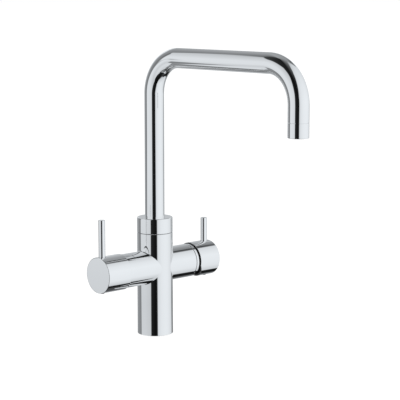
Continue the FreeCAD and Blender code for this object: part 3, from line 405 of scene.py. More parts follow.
@dataclass
class Surface:
    """Patches of one piece, joined into a mesh."""

    name: str
    points: list = field(default_factory=list)
    faces: list = field(default_factory=list)
    total: int = 0

    def add(self, grid: Points, wrap_rows: bool = False, wrap_columns: bool = True) -> Surface:
        """Join a grid of points with four-sided faces.

        Args:
            grid: An array of (row, column, xyz).
            wrap_rows: Whether the last row meets the first.
            wrap_columns: Whether the last column meets the first.

        Returns:
            The surface itself.
        """
        rows, columns = grid.shape[:2]
        index = np.arange(rows * columns).reshape(rows, columns) + self.total
        if wrap_rows:
            index = np.concatenate([index, index[:1]], axis=0)
        if wrap_columns:
            index = np.concatenate([index, index[:, :1]], axis=1)
        quads = np.stack([index[:-1, :-1], index[1:, :-1], index[1:, 1:], index[:-1, 1:]], axis=-1)
        self.points.append(grid.reshape(-1, 3))
        self.faces.append(quads.reshape(-1, 4))
        self.total += rows * columns
        return self

    def piece(self, finish: Finish, crease: float = 32.0) -> bpy.types.Object:
        """The mesh object: doubles merged, faces outwards, shading smooth up to the crease angle.

        Args:
            finish: What it is dressed in.
            crease: Degrees between faces past which an edge is sharp.

        Returns:
            The new object, in the scene.
        """
        mesh = bpy.data.meshes.new(self.name)
        points = np.concatenate(self.points)
        faces = np.concatenate(self.faces)
        mesh.from_pydata(points.tolist(), [], faces.tolist())
        work = bmesh.new()
        work.from_mesh(mesh)
        bmesh.ops.remove_doubles(work, verts=work.verts, dist=1.0e-6)
        bmesh.ops.dissolve_degenerate(work, edges=work.edges, dist=1.0e-7)
        bmesh.ops.recalc_face_normals(work, faces=work.faces)
        work.to_mesh(mesh)
        work.free()
        shade(mesh, crease)
        made = bpy.data.objects.new(self.name, mesh)
        bpy.context.scene.collection.objects.link(made)
        made.data.materials.append(finish.material())
        return made


def shade(mesh: bpy.types.Mesh, crease: float) -> None:
    """Smooth shading with sharp edges past an angle in degrees."""
    mesh.polygons.foreach_set("use_smooth", np.ones(len(mesh.polygons), bool))
    mesh.set_sharp_from_angle(angle=math.radians(crease))


def carve(piece: bpy.types.Object, cutter: bpy.types.Object, crease: float = 32.0) -> None:
    """Cut one closed mesh out of another, then delete the cutter.

    Args:
        piece: What is cut.
        cutter: The tool.
        crease: Degrees between faces past which an edge is sharp.
    """
    cut = piece.modifiers.new("carve", "BOOLEAN")
    cut.operation = "DIFFERENCE"
    cut.solver = "EXACT"
    cut.object = cutter
    bpy.context.view_layer.update()
    graph = bpy.context.evaluated_depsgraph_get()
    result = bpy.data.meshes.new_from_object(piece.evaluated_get(graph))
    piece.modifiers.clear()
    old = piece.data
    result.name = old.name
    piece.data = result
    bpy.data.meshes.remove(old)
    shade(result, crease)
    bpy.data.objects.remove(cutter)


def drill_bit(place: tuple, radius: float, low: float, high: float,
              count: int = 48) -> bpy.types.Object:
    """Upright round tool for carve().

    Args:
        place: Its x and y.
        radius: Its radius.
        low: Height of its lower end.
        high: Height of its upper end.
        count: Points round it.

    Returns:
        The tool, in the scene.
    """
    section = half_section([(low, 0.0, 0.0), (low, radius, 0.0), (high, radius, 0.0), (high, 0.0, 0.0)])
    grid = turned(section, Axis.UP, (place[0], place[1], 0.0), count)
    return Surface("drill_bit").add(grid).piece(MIRROR_CHROME)


def settle(piece: bpy.types.Object, body: Body, slot: str, *nodes: str) -> bpy.types.Object:
    """Let a finished piece ride on its body, and hide the nodes that it stands for."""
    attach(piece, body.value)
    if nodes:
        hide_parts(*nodes)
    LOG.info("%s: %d faces on %s", piece.name, len(piece.data.polygons), body.value)
    return piece


def span(node: str, axis: int) -> tuple:
    """Lowest and highest place of a node along X, Y or Z."""
    low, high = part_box(node)
    return low[axis], high[axis]


def half_width(node: str, axis: int) -> float:
    """Half a node's size along X, Y or Z."""
    low, high = span(node, axis)
    return 0.5 * (high - low)


def arm_height() -> float:
    """Height of the arms' common axis."""
    low, high = span("filter_handle_cap", 2)
    return 0.5 * (low + high)


# --- the body -------------------------------------------------------------------------------


@dataclass
class CrossBody:
    """The column crossed by two arms, with a small rolled fillet where they meet."""

    crossing_round: float = 1.2 * MM
    edge_round: float = 0.35 * MM
    left_recess: float = 16.5 * MM
    left_recess_floor: float = 43.5 * MM
    right_pocket: float = 17.6 * MM
    right_pocket_floor: float = 22.0 * MM
    top_bore: float = 12.55 * MM
    top_bore_depth: float = 9.0 * MM
    hose_radius: float = 4.5 * MM
    hose_depth: float = 14.0 * MM
    hose_circle: float = 10.5 * MM
    hose_angle: float = math.radians(60.0)
    stud_radius: float = 2.5 * MM
    stud_depth: float = 16.0 * MM
    stud_place: tuple = (-7.0 * MM, 12.5 * MM)
    mouth_round: float = 0.2 * MM
    arm_lead: float = 1.0 * MM
    column_lead: float = 3.0 * MM
    crease: float = 28.0
    around: int = 120
    between: int = 40

    def __post_init__(self) -> None:
        """Read the outline from the frame."""
        self.column = span("spout_collar", 0)[1]
        self.arm = half_width("mixer_trim_ring", 2)
        self.left_end = -span("body_casting", 0)[0]
        self.right_end = span("body_casting", 0)[1]
        self.top = span("body_casting", 2)[1]
        self.axis = arm_height()

    def crossing(self, angle: Points) -> tuple:
        """Where the fillet's ball touches the arm and the column.

        The ball's centre lies one ball's radius outside both cylinders: at angle f round the arm
        it is at ((C + r)^2 - ((A + r) cos f)^2)^(1/2) along it, with C and A the column's and the
        arm's radii and r the ball's.

        Args:
            angle: Angles round the arm's axis, from +Y up.

        Returns:
            Centres, touch points on the arm and touch points on the column, as arrays of xyz with
            z measured from the arm's axis.
        """
        column, arm, ball = self.column, self.arm, self.crossing_round
        y = (arm + ball) * np.cos(angle)
        z = (arm + ball) * np.sin(angle)
        x = np.sqrt((column + ball) ** 2 - y ** 2)
        centre = np.stack([x, y, z], axis=-1)
        on_arm = np.stack([x, y * arm / (arm + ball), z * arm / (arm + ball)], axis=-1)
        share = column / (column + ball)
        on_column = np.stack([x * share, y * share, z], axis=-1)
        return centre, on_arm, on_column

    def fillet(self, angle: Points, steps: int = 8) -> Points:
        """Rolled fillet: arcs about the ball's centre, from the arm's touch line to the column's."""
        centre, on_arm, on_column = self.crossing(angle)
        first, last = on_arm - centre, on_column - centre
        cosine = np.sum(first * last, axis=-1) / self.crossing_round ** 2
        sweep = np.arccos(np.clip(cosine, -1.0, 1.0))[:, None]
        rows = []
        for share in np.linspace(0.0, 1.0, steps + 1):
            mixed = first * np.sin((1.0 - share) * sweep) + last * np.sin(share * sweep)
            rows.append(centre + mixed / np.sin(sweep))
        return np.stack(rows)

    def arm_grid(self, angle: Points, side: int) -> Points:
        """Arm from its touch line to its end, then down its pocket to the pocket's floor.

        Args:
            angle: Angles round the arm's axis.
            side: Above 0 for the right arm, below it for the left one, which build() mirrors.

        Returns:
            An array of (row, angle, xyz), with z measured from the arm's axis.
        """
        on_arm = self.crossing(angle)[1]
        if side > 0:
            end, radius, floor = self.right_end, self.right_pocket, self.right_pocket_floor
        else:
            end, radius, floor = self.left_end, self.left_recess, self.left_recess_floor
        start = float(on_arm[:, 0].max()) + self.arm_lead
        section = half_section([(start, self.arm, 0.0), (end, self.arm, self.edge_round),
                                (end, radius, self.mouth_round), (floor, radius, 0.0),
                                (floor, 0.0, 0.0)])
        rest = turned(section, Axis.RIGHT, (0.0, 0.0, 0.0), len(angle))
        near = on_arm + np.array([EASE, 0.0, 0.0])
        rows = [on_arm[None], near[None]]
        for share in (0.25, 0.5, 0.75):
            rows.append((near * (1.0 - share) + rest[0] * share)[None])
        return np.concatenate(rows + [rest])

    def ring_of_angles(self) -> tuple:
        """Angles round the column, and how far from the arms' axis the openings reach there."""
        half = np.linspace(0.0, math.pi, self.around // 2 + 1)
        on_column = self.crossing(half)[2]
        opening = np.arctan2(on_column[:, 1], on_column[:, 0])[::-1]
        rise = on_column[::-1, 2]
        gap = np.linspace(opening[-1], math.pi - opening[-1], self.between + 1)[1:-1]
        level = np.zeros(len(gap))
        angle = np.concatenate([opening, gap, opening + math.pi, gap + math.pi])
        return angle, np.concatenate([rise, level, rise, level])

    def column_grid(self, upward: bool) -> Points:
        """Column above or below the arms, with its end.

        Each column of the grid starts on the opening's edge, which stands rise from the arms' axis,
        and runs straight to the column's end.

        Args:
            upward: Whether it is the part above.

        Returns:
            An array of (row, angle, xyz).
        """
        angle, rise = self.ring_of_angles()
        sign = 1.0 if upward else -1.0
        start = self.axis + sign * (self.arm + self.column_lead)
        if upward:
            floor = self.top - self.top_bore_depth
            ending = [(self.top, self.column, self.edge_round),
                      (self.top, self.top_bore, self.mouth_round), (floor, self.top_bore, 0.0),
                      (floor, 0.0, 0.0)]
        else:
            ending = [(0.0, self.column, self.edge_round), (0.0, 0.0, 0.0)]
        section = half_section([(start, self.column, 0.0)] + ending)
        cos, sin = np.cos(angle), np.sin(angle)
        edge = np.stack([self.column * cos, self.column * sin, self.axis + sign * rise], axis=-1)
        rest = np.stack([section[:, 1:] * cos, section[:, 1:] * sin,
                         np.repeat(section[:, :1], len(angle), axis=1)], axis=-1)
        near = edge + np.array([0.0, 0.0, sign * EASE])
        rows = [edge[None], near[None]]
        for share in (0.2, 0.4, 0.6, 0.8):
            rows.append((near * (1.0 - share) + rest[0] * share)[None])
        return np.concatenate(rows + [rest])

    def build(self) -> bpy.types.Object:
        """The whole casting, with the hose and stud holes in its foot."""
        lift = np.array([0.0, 0.0, self.axis])
        mirror = np.array([-1.0, 1.0, 1.0])
        angle = np.linspace(0.0, FULL_TURN, self.around, endpoint=False)
        shell = Surface("cross_body")
        shell.add(self.fillet(angle) + lift)
        shell.add(self.fillet(angle) * mirror + lift)
        shell.add(self.arm_grid(angle, 1) + lift)
        shell.add(self.arm_grid(angle, -1) * mirror + lift)
        shell.add(self.column_grid(True))
        shell.add(self.column_grid(False))
        piece = shell.piece(MIRROR_CHROME, crease=self.crease)
        for place, radius, depth in self.foot_holes():
            carve(piece, drill_bit(place, radius, -TOOL_REACH, depth), crease=self.crease)
        carve(piece, self.seal_groove(), crease=self.crease)
        return settle(piece, Body.TAP, "chrome_body", "body_casting")

    def foot_holes(self) -> list:
        """Places, radii and depths of the hose and stud holes."""
        x = self.hose_circle * math.cos(self.hose_angle)
        y = self.hose_circle * math.sin(self.hose_angle)
        hoses = [((x, y), self.hose_radius, self.hose_depth),
                 ((x, -y), self.hose_radius, self.hose_depth),
                 ((-self.hose_circle, 0.0), self.hose_radius, self.hose_depth)]
        back, aside = self.stud_place
        studs = [((back, aside), self.stud_radius, self.stud_depth),
                 ((back, -aside), self.stud_radius, self.stud_depth)]
        return hoses + studs

    def seal_groove(self) -> bpy.types.Object:
        """Ring-shaped tool for the seal's groove."""
        outer = span("base_o_ring", 0)[1] + SLIDE_GAP
        wire = half_width("base_o_ring", 2)
        inner = outer - 2.0 * wire - 2.0 * SLIDE_GAP
        top = 2.0 * wire + SLIDE_GAP
        ring = np.array([(-TOOL_REACH, inner), (-TOOL_REACH, outer), (top, outer), (top, inner)])
        grid = turned(ring, Axis.UP, (0.0, 0.0, 0.0), 128)
        return Surface("groove_tool").add(grid, wrap_rows=True).piece(MIRROR_CHROME)


@dataclass
class TrimRing:
    """Chromed ring between the right arm and its handle."""

    edge_round: float = 0.3 * MM
    bore_round: float = 0.1 * MM

    def build(self) -> bpy.types.Object:
        """The ring, turned about the arm's axis."""
        start, end = span("mixer_trim_ring", 0)
        outer = half_width("mixer_trim_ring", 2)
        inner = half_width("mixer_cartridge_nut", 2) + SLIDE_GAP
        middle = 0.5 * (start + end)
        corners = [(middle, inner, 0.0), (start, inner, self.bore_round),
                   (start, outer, self.edge_round), (end, outer, self.edge_round),
                   (end, inner, self.bore_round), (middle, inner, 0.0)]
        section = half_section(corners)[:-1]
        grid = turned(section, Axis.RIGHT, (0.0, 0.0, arm_height()))
        ring = Surface("trim_ring").add(grid, wrap_rows=True).piece(MIRROR_CHROME)
        return settle(ring, Body.TAP, "chrome_body", "mixer_trim_ring")


# --- the spout ------------------------------------------------------------------------------


@dataclass
class SwivelSpout:
    """Collar, bent tube and aerator housing, which turn together."""

    collar_round: float = 1.2 * MM
    edge_round: float = 0.35 * MM
    wall: float = 1.25 * MM
    bend: float = 46.2 * MM
    web: float = 4.6 * MM
    nipple_gap: float = 0.05 * MM
    bore_round: float = 0.2 * MM
    socket_round: float = 0.15 * MM
    screw_radius: float = 2.55 * MM
    screw_hole_start: float = 8.0 * MM
    screw_hole_past: float = 2.0 * MM
    thread_length: float = 6.0 * MM
    thread_gap: float = 0.05 * MM
    seam_gap: float = 0.4 * MM
    tube_lip: float = 0.15 * MM
    foot_lead: float = 0.2 * MM
    bend_lead: float = 0.3 * MM
    aerator_bore: float = 9.7 * MM
    mouth: float = 8.8 * MM
    mouth_round: float = 0.4 * MM
    ledge_round: float = 0.1 * MM
    mouth_edge_round: float = 0.9 * MM
    around: int = 128
    bend_steps: int = 56

    def __post_init__(self) -> None:
        """Read the outline from the frame."""
        low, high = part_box("spout_tube")
        self.tube = high[0]
        self.foot = low[2]
        self.run_height = high[2] - self.tube
        self.reach = -low[1] - self.tube
        self.tube_end = span("aerator_housing", 2)[1] - self.thread_length + self.seam_gap

    def collar(self) -> bpy.types.Object:
        """Collar with its rounded top edge and the screw hole at its back."""
        low, high = span("spout_collar", 2)
        outer = span("spout_collar", 0)[1]
        bore = half_width("swivel_nipple", 0) + self.nipple_gap
        socket = self.tube + SLIDE_GAP
        ceiling = high - self.web
        middle = 0.5 * (low + ceiling)
        corners = [(middle, bore, 0.0), (low, bore, self.bore_round), (low, outer, self.edge_round),
                   (high, outer, self.collar_round), (high, socket, self.socket_round),
                   (ceiling, socket, 0.0), (ceiling, bore, 0.0), (middle, bore, 0.0)]
        section = half_section(corners)[:-1]
        grid = turned(section, Axis.UP, (0.0, 0.0, 0.0))
        piece = Surface("spout_collar_shell").add(grid, wrap_rows=True).piece(MIRROR_CHROME)
        screw_low, screw_high = span("spout_grub_screw", 2)
        carve(piece, self.side_bit(0.5 * (screw_low + screw_high), outer))
        return settle(piece, Body.SPOUT, "chrome_spout", "spout_collar")

    def side_bit(self, level: float, outer: float, count: int = 48) -> bpy.types.Object:
        """Round tool along +Y for the screw hole.

        Args:
            level: Height of its axis.
            outer: The collar's radius.
            count: Points round it.

        Returns:
            The tool, in the scene.
        """
        angle = np.linspace(0.0, FULL_TURN, count, endpoint=False)
        start, end = self.screw_hole_start, outer + self.screw_hole_past
        rows = []
        for y, radius in ((start, 0.0), (start, self.screw_radius), (end, self.screw_radius), (end, 0.0)):
            x = radius * np.cos(angle)
            z = level + radius * np.sin(angle)
            rows.append(np.stack([x, np.full(count, y), z], axis=-1))
        return Surface("side_bit").add(np.stack(rows)).piece(MIRROR_CHROME)

    def route(self) -> tuple:
        """Stations of the centre line with their directions across it.

        The line goes up, turns a quarter circle to the front, runs level, turns a quarter circle
        down and ends over the outlet. Across it lie X and the outward normal of the bends.

        Returns:
            Centres and outward normals, as arrays of xyz.
        """
        top, turn = self.run_height, self.bend
        rise = top - turn
        stations = [(0.0, self.foot, 1.0, 0.0), (0.0, self.foot + self.foot_lead, 1.0, 0.0)]
        for share in np.linspace(0.25, 1.0, 4):
            straight = rise - self.bend_lead - self.foot
            stations.append((0.0, self.foot + share * straight, 1.0, 0.0))
        for angle in np.linspace(0.0, 0.5 * math.pi, self.bend_steps + 1):
            cos, sin = math.cos(angle), math.sin(angle)
            stations.append((-turn + turn * cos, rise + turn * sin, cos, sin))
        for share in (0.01, 0.25, 0.5, 0.75, 0.99):
            stations.append((-turn - share * (self.reach - 2.0 * turn), top, 0.0, 1.0))
        for angle in np.linspace(0.5 * math.pi, math.pi, self.bend_steps + 1):
            cos, sin = math.cos(angle), math.sin(angle)
            stations.append((-self.reach + turn + turn * cos, rise + turn * sin, cos, sin))
        for share in (0.03, 0.5, 0.97, 1.0):
            stations.append((-self.reach, rise - share * (rise - self.tube_end), -1.0, 0.0))
        table = np.array(stations)
        blank = np.zeros(len(table))
        centre = np.stack([blank, table[:, 0], table[:, 1]], axis=-1)
        outward = np.stack([blank, table[:, 2], table[:, 3]], axis=-1)
        return centre, outward

    def tube_piece(self) -> bpy.types.Object:
        """Bent tube: two circles carried along the centre line, joined by rounded end faces."""
        centre, outward = self.route()
        angle = np.linspace(0.0, FULL_TURN, self.around, endpoint=False)
        across = np.array([1.0, 0.0, 0.0])

        def carried(radius: float) -> Points:
            """Circle of one radius at every station."""
            aside = across * (radius * np.cos(angle))[:, None]
            out = outward[:, None, :] * (radius * np.sin(angle))[None, :, None]
            return centre[:, None, :] + aside[None] + out

        outer, inner = carried(self.tube), carried(self.tube - self.wall)
        eased = carried(self.tube - self.tube_lip)
        first, last = eased[:1], eased[-1:]
        outer[0, :, 2] += self.tube_lip
        outer[-1, :, 2] += self.tube_lip
        grid = np.concatenate([first, outer, last, inner[::-1]])
        piece = Surface("spout_tube_bent").add(grid, wrap_rows=True).piece(MIRROR_CHROME)
        return settle(piece, Body.SPOUT, "chrome_spout", "spout_tube")

    def housing(self) -> bpy.types.Object:
        """Aerator housing with a rounded mouth and the thread's spigot above."""
        low, high = span("aerator_housing", 2)
        seam = high - self.thread_length
        thread = self.tube - self.wall - self.thread_gap
        lip_top = span("aerator_insert", 2)[0]
        bore, mouth = self.aerator_bore, self.mouth
        middle = 0.5 * (seam + lip_top)
        corners = [(middle, bore, 0.0), (lip_top, bore, 0.0), (lip_top, mouth, self.ledge_round),
                   (low, mouth, self.mouth_round), (low, self.tube, self.mouth_edge_round),
                   (seam, self.tube, self.bore_round), (seam, thread, 0.0),
                   (high, thread, self.bore_round), (high, bore, self.bore_round),
                   (middle, bore, 0.0)]
        section = half_section(corners)[:-1]
        grid = turned(section, Axis.UP, (0.0, -self.reach, 0.0))
        piece = Surface("aerator_mouth").add(grid, wrap_rows=True).piece(MIRROR_CHROME)
        return settle(piece, Body.SPOUT, "chrome_spout", "aerator_housing")

    def build(self) -> None:
        """All three pieces."""
        self.collar()
        self.tube_piece()
        self.housing()


# --- the handles ----------------------------------------------------------------------------


@dataclass
class Handle:
    """A hollow cap with its lever pin, on one arm."""

    axis: Axis
    prefix: str
    body: Body
    hub_face: float
    relief_start: float = 0.0
    relief_depth: float = 0.0
    relief_reach: float = 1.0 * MM
    wall: float = 2.4 * MM
    hub_round: float = 0.5 * MM
    # length at the cap's end left free of the painted shade
    shade_free_end: float = 2.0 * MM
    end_round: float = 1.0 * MM
    rim_round: float = 0.25 * MM
    lever_round: float = 0.6 * MM
    seat_gap: float = 0.35 * MM
    seat_depth: float = 3.0 * MM
    seat_past: float = 2.0 * MM
    spigot_radius: float = 2.5 * MM
    spigot_length: float = 6.0 * MM
    around: int = 256

    def __post_init__(self) -> None:
        """Read the outline from the frame."""
        cap = f"{self.prefix}_handle_cap"
        low, high = span(cap, 0)
        self.rim, self.end = (low, high) if self.axis is Axis.RIGHT else (-high, -low)
        self.outer = half_width(cap, 2)
        self.height = arm_height()

    def set_back(self, across: Points) -> Points:
        """How far the rim is cut back, in proportion to the depth below relief_start."""
        depth = np.maximum(0.0, -across - self.relief_start)
        return depth * self.relief_depth / (self.outer - self.relief_start)

    def cap(self) -> bpy.types.Object:
        """Cap whose rim may be cut back on a slant at its underside.

        Rows run from the hub's face out to the inner wall, back over the rounded rim, along the
        outside and round the end face to its middle. Near the rim each point is shifted out by
        set_back of its own height.

        Returns:
            The finished piece.
        """
        inner = self.outer - self.wall
        corners = [(self.hub_face, 0.0, 0.0), (self.hub_face, inner, self.hub_round),
                   (self.rim, inner, self.rim_round), (self.rim, self.outer, self.rim_round),
                   (self.end, self.outer, self.end_round), (self.end, 0.0, 0.0)]
        section = half_section(corners)
        grid = turned(section, self.axis, (0.0, 0.0, 0.0), self.around)
        sign = 1.0 if self.axis is Axis.RIGHT else -1.0
        near = np.where(section[:, 0] < self.rim + self.relief_reach, 1.0, 0.0)
        grid[..., 0] += sign * self.set_back(grid[..., 2]) * near[:, None]
        grid[..., 2] += self.height
        piece = Surface(f"{self.prefix}_cap_shell").add(grid).piece(MIRROR_CHROME)
        # painted shade on the rim and inside of the cap
        self.paint_inside_shade(piece)
        carve(piece, self.seat_bit())
        return settle(piece, self.body, "chrome_handles", f"{self.prefix}_handle_cap")

    def paint_inside_shade(self, piece: bpy.types.Object) -> None:
        """Paint shade on the rim and the inside, from the rim's outer rounding inwards, with a near-black
        finish.
        """
        mesh = piece.data
        mesh.materials.append(PAINTED_INSIDE_SHADE.material())
        for face in mesh.polygons:
            out = math.hypot(face.center.y, face.center.z - self.height)
            inside = out < self.outer - self.rim_round
            behind = abs(face.center.x) < self.end - self.shade_free_end
            face.material_index = int(inside and behind)

    def seat_bit(self) -> bpy.types.Object:
        """Tool for the lever's seat, a little wider than the lever."""
        low, high = span(f"{self.prefix}_lever_pin", 0)
        radius = 0.5 * (high - low) + self.seat_gap
        crown = self.height + self.outer
        return drill_bit((0.5 * (low + high), 0.0), radius, crown - self.seat_depth,
                         crown + self.seat_past)

    def lever(self) -> bpy.types.Object:
        """Round lever pin with a softened top edge."""
        low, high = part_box(f"{self.prefix}_lever_pin")
        radius = 0.5 * (high[0] - low[0])
        middle = 0.5 * (low[0] + high[0])
        foot, top = low[2], high[2]
        shoulder = foot + self.spigot_length
        corners = [(foot, 0.0, 0.0), (foot, self.spigot_radius, 0.0),
                   (shoulder, self.spigot_radius, 0.0), (shoulder, radius, 0.0),
                   (top, radius, self.lever_round), (top, 0.0, 0.0)]
        grid = turned(half_section(corners), Axis.UP, (middle, 0.0, 0.0), 96)
        piece = Surface(f"{self.prefix}_lever_rod").add(grid).piece(MIRROR_CHROME)
        return settle(piece, self.body, "chrome_handles", f"{self.prefix}_lever_pin")

    def build(self) -> None:
        """Cap and lever."""
        self.cap()
        self.lever()


# --- studio ---------------------------------------------------------------------------------


def light_level(shade: float) -> float:
    """Linear light that chrome shows as a display shade from 0 to 255."""
    part = shade / 255.0
    linear = part / 12.92 if part < 0.04045 else ((part + 0.055) / 1.055) ** 2.4
    return linear / MIRROR_SHARE


def shades(*points: tuple) -> list:
    """Pairs of an angle and a display shade, as pairs of an angle and a light level."""
    return [(angle, light_level(shade)) for angle, shade in points]


@dataclass(frozen=True)
class SoftBox:
    """A card, bright or black, on the shell that the chrome reflects.

    Its sides are given as (elevation, turn) pairs and its upper and lower edges as
    (turn, elevation) pairs, all in degrees and seen from the shell's centre: turn is measured to
    the right from the side where the camera stands. Its glow is the product of one curve over
    elevation and one over turn.
    """

    left: list
    right: list
    top: list
    bottom: list
    by_height: list
    by_turn: list
    soft: float = 3.0

    def over(self, board: Board, ground: Wire, turn: Wire, lift: Wire) -> Wire:
        """Light level with this card laid over what is behind it.

        Args:
            board: The shell's nodes.
            ground: Level behind the card.
            turn: Turn of the point on the shell.
            lift: Its elevation.

        Returns:
            The combined level.
        """
        mask = self._inside(turn - board.curve(lift, self.left))
        mask = mask * self._inside(board.curve(lift, self.right) - turn)
        mask = mask * self._inside(board.curve(turn, self.top) - lift)
        mask = mask * self._inside(lift - board.curve(turn, self.bottom))
        glow = board.curve(lift, self.by_height) * board.curve(turn, self.by_turn)
        return ground + mask * (glow - ground)

    def _inside(self, depth: Wire) -> Wire:
        """1 where depth is positive, 0 where it is negative, over a soft edge."""
        return (depth / self.soft + 0.5).held()


LEFT_BOX = SoftBox(
    left=[(-62.0, -112.0), (-50.0, -122.0), (-30.0, -115.0), (-24.0, -97.0), (-10.0, -101.0),
          (0.0, -94.0), (8.0, -94.0), (18.0, -101.0), (40.0, -105.0), (56.0, -121.0)],
    right=[(-60.0, -52.0), (-54.0, -39.0), (-44.0, -37.0), (-30.0, -31.0), (-25.0, -24.0),
           (8.0, -25.5), (18.0, -22.0), (40.0, -19.0), (52.0, -25.0)],
    top=[(-118.0, 59.0), (-104.0, 57.5), (-80.0, 47.5), (-35.0, 51.5), (-20.0, 44.0)],
    bottom=[(-125.0, -60.0), (-108.0, -69.0), (-85.0, -67.5), (-40.0, -59.0)],
    by_height=shades((-62.0, 205.0), (-38.0, 220.0), (-19.0, 205.0), (-3.0, 223.0), (22.0, 223.0),
                     (52.0, 198.0), (58.0, 178.0)),
    by_turn=[(-65.0, 1.0), (-35.0, 0.93), (-25.0, 0.88)],
)
RIGHT_BOX = SoftBox(
    left=[(-64.0, 47.0), (-48.0, 24.0), (-30.0, 17.0), (-22.0, 18.5), (-8.0, 16.0), (2.0, 13.5),
          (20.0, 15.0), (40.0, 23.5), (54.0, 31.0), (66.0, 48.0)],
    right=[(-60.0, 90.0), (-48.0, 123.0), (-40.0, 133.0), (-25.0, 139.0), (-19.0, 130.0),
           (-2.0, 121.0), (4.0, 128.0), (10.0, 146.0), (20.0, 166.0), (28.0, 168.0), (34.0, 154.0),
           (39.0, 127.0), (54.0, 113.0), (64.0, 103.0)],
    top=[(20.0, 49.0), (45.0, 64.5), (65.0, 69.5), (97.0, 70.5), (140.0, 44.0), (165.0, 37.0)],
    bottom=[(20.0, -51.0), (35.0, -55.0), (60.0, -66.5), (85.0, -64.5), (125.0, -48.0),
            (138.0, -36.0)],
    by_height=shades((-66.0, 165.0), (-55.0, 208.0), (-35.0, 232.0), (12.0, 237.0), (35.0, 231.0),
                     (55.0, 220.0), (64.0, 204.0), (72.0, 160.0)),
    by_turn=[(14.0, 0.72), (27.0, 0.89), (45.0, 0.97), (70.0, 1.0), (90.0, 0.985), (130.0, 0.84),
             (165.0, 0.78)],
)
REAR_CARD = SoftBox(
    left=[(-6.0, -174.0), (40.0, -174.0)],
    right=[(-4.0, -146.0), (6.0, -139.0), (40.0, -146.0)],
    top=[(-178.0, 38.0), (-145.0, 41.0)],
    bottom=[(-178.0, -7.0), (-145.0, -5.0)],
    by_height=shades((-6.0, 195.0), (8.0, 200.0), (19.0, 234.0), (34.0, 240.0), (39.0, 218.0)),
    by_turn=[(-174.0, 1.0), (-155.0, 0.97), (-142.0, 0.80)],
)
FLOOR_FLAG = SoftBox(
    left=[(-62.0, 100.0), (-51.0, 121.0), (-38.0, 137.0), (-16.0, 140.0)],
    right=[(-62.0, 124.0), (-57.0, 130.0), (-50.0, 153.0), (-16.0, 168.0)],
    top=[(110.0, -17.0), (165.0, -17.0)],
    bottom=[(110.0, -63.0), (160.0, -63.0)],
    by_height=shades((-60.0, 24.0), (-34.0, 24.0), (-27.0, 44.0), (-20.0, 110.0)),
    by_turn=[(110.0, 1.0), (160.0, 1.0)],
)
CEILING_FLAG = SoftBox(
    left=[(38.0, 131.0), (47.0, 128.0), (57.0, 115.0)],
    right=[(38.0, 137.0), (46.0, 140.0), (57.0, 125.0)],
    top=[(115.0, 57.0), (140.0, 49.0)],
    bottom=[(125.0, 42.5), (140.0, 41.0)],
    by_height=shades((40.0, 62.0), (47.0, 66.0), (55.0, 98.0)),
    by_turn=[(115.0, 1.0), (140.0, 1.0)],
)
FLOOR_BAND = shades((-180.0, 80.0), (-122.0, 92.0), (-60.0, 48.0), (0.0, 12.0), (120.0, 65.0),
                    (180.0, 80.0))
SKIRTING_BAND = shades((-180.0, 165.0), (-135.0, 112.0), (-115.0, 145.0), (-60.0, 38.0),
                       (0.0, 10.0), (135.0, 50.0), (180.0, 155.0))
WALL_BAND = shades((-180.0, 190.0), (-138.0, 158.0), (-112.0, 128.0), (-30.0, 40.0), (8.0, 14.0),
                   (120.0, 170.0), (165.0, 166.0), (180.0, 190.0))
CORNICE_BAND = shades((-180.0, 162.0), (-120.0, 138.0), (-106.0, 90.0), (-20.0, 36.0), (0.0, 5.0),
                      (130.0, 108.0), (180.0, 165.0))
CEILING_BAND = shades((-180.0, 162.0), (-122.0, 122.0), (-96.0, 58.0), (-60.0, 40.0), (0.0, 26.0),
                      (122.0, 146.0), (180.0, 162.0))
WALLS = ((-52.0, FLOOR_BAND), (-33.0, SKIRTING_BAND), (-12.0, WALL_BAND), (15.0, WALL_BAND),
         (42.0, CORNICE_BAND), (60.0, CEILING_BAND))


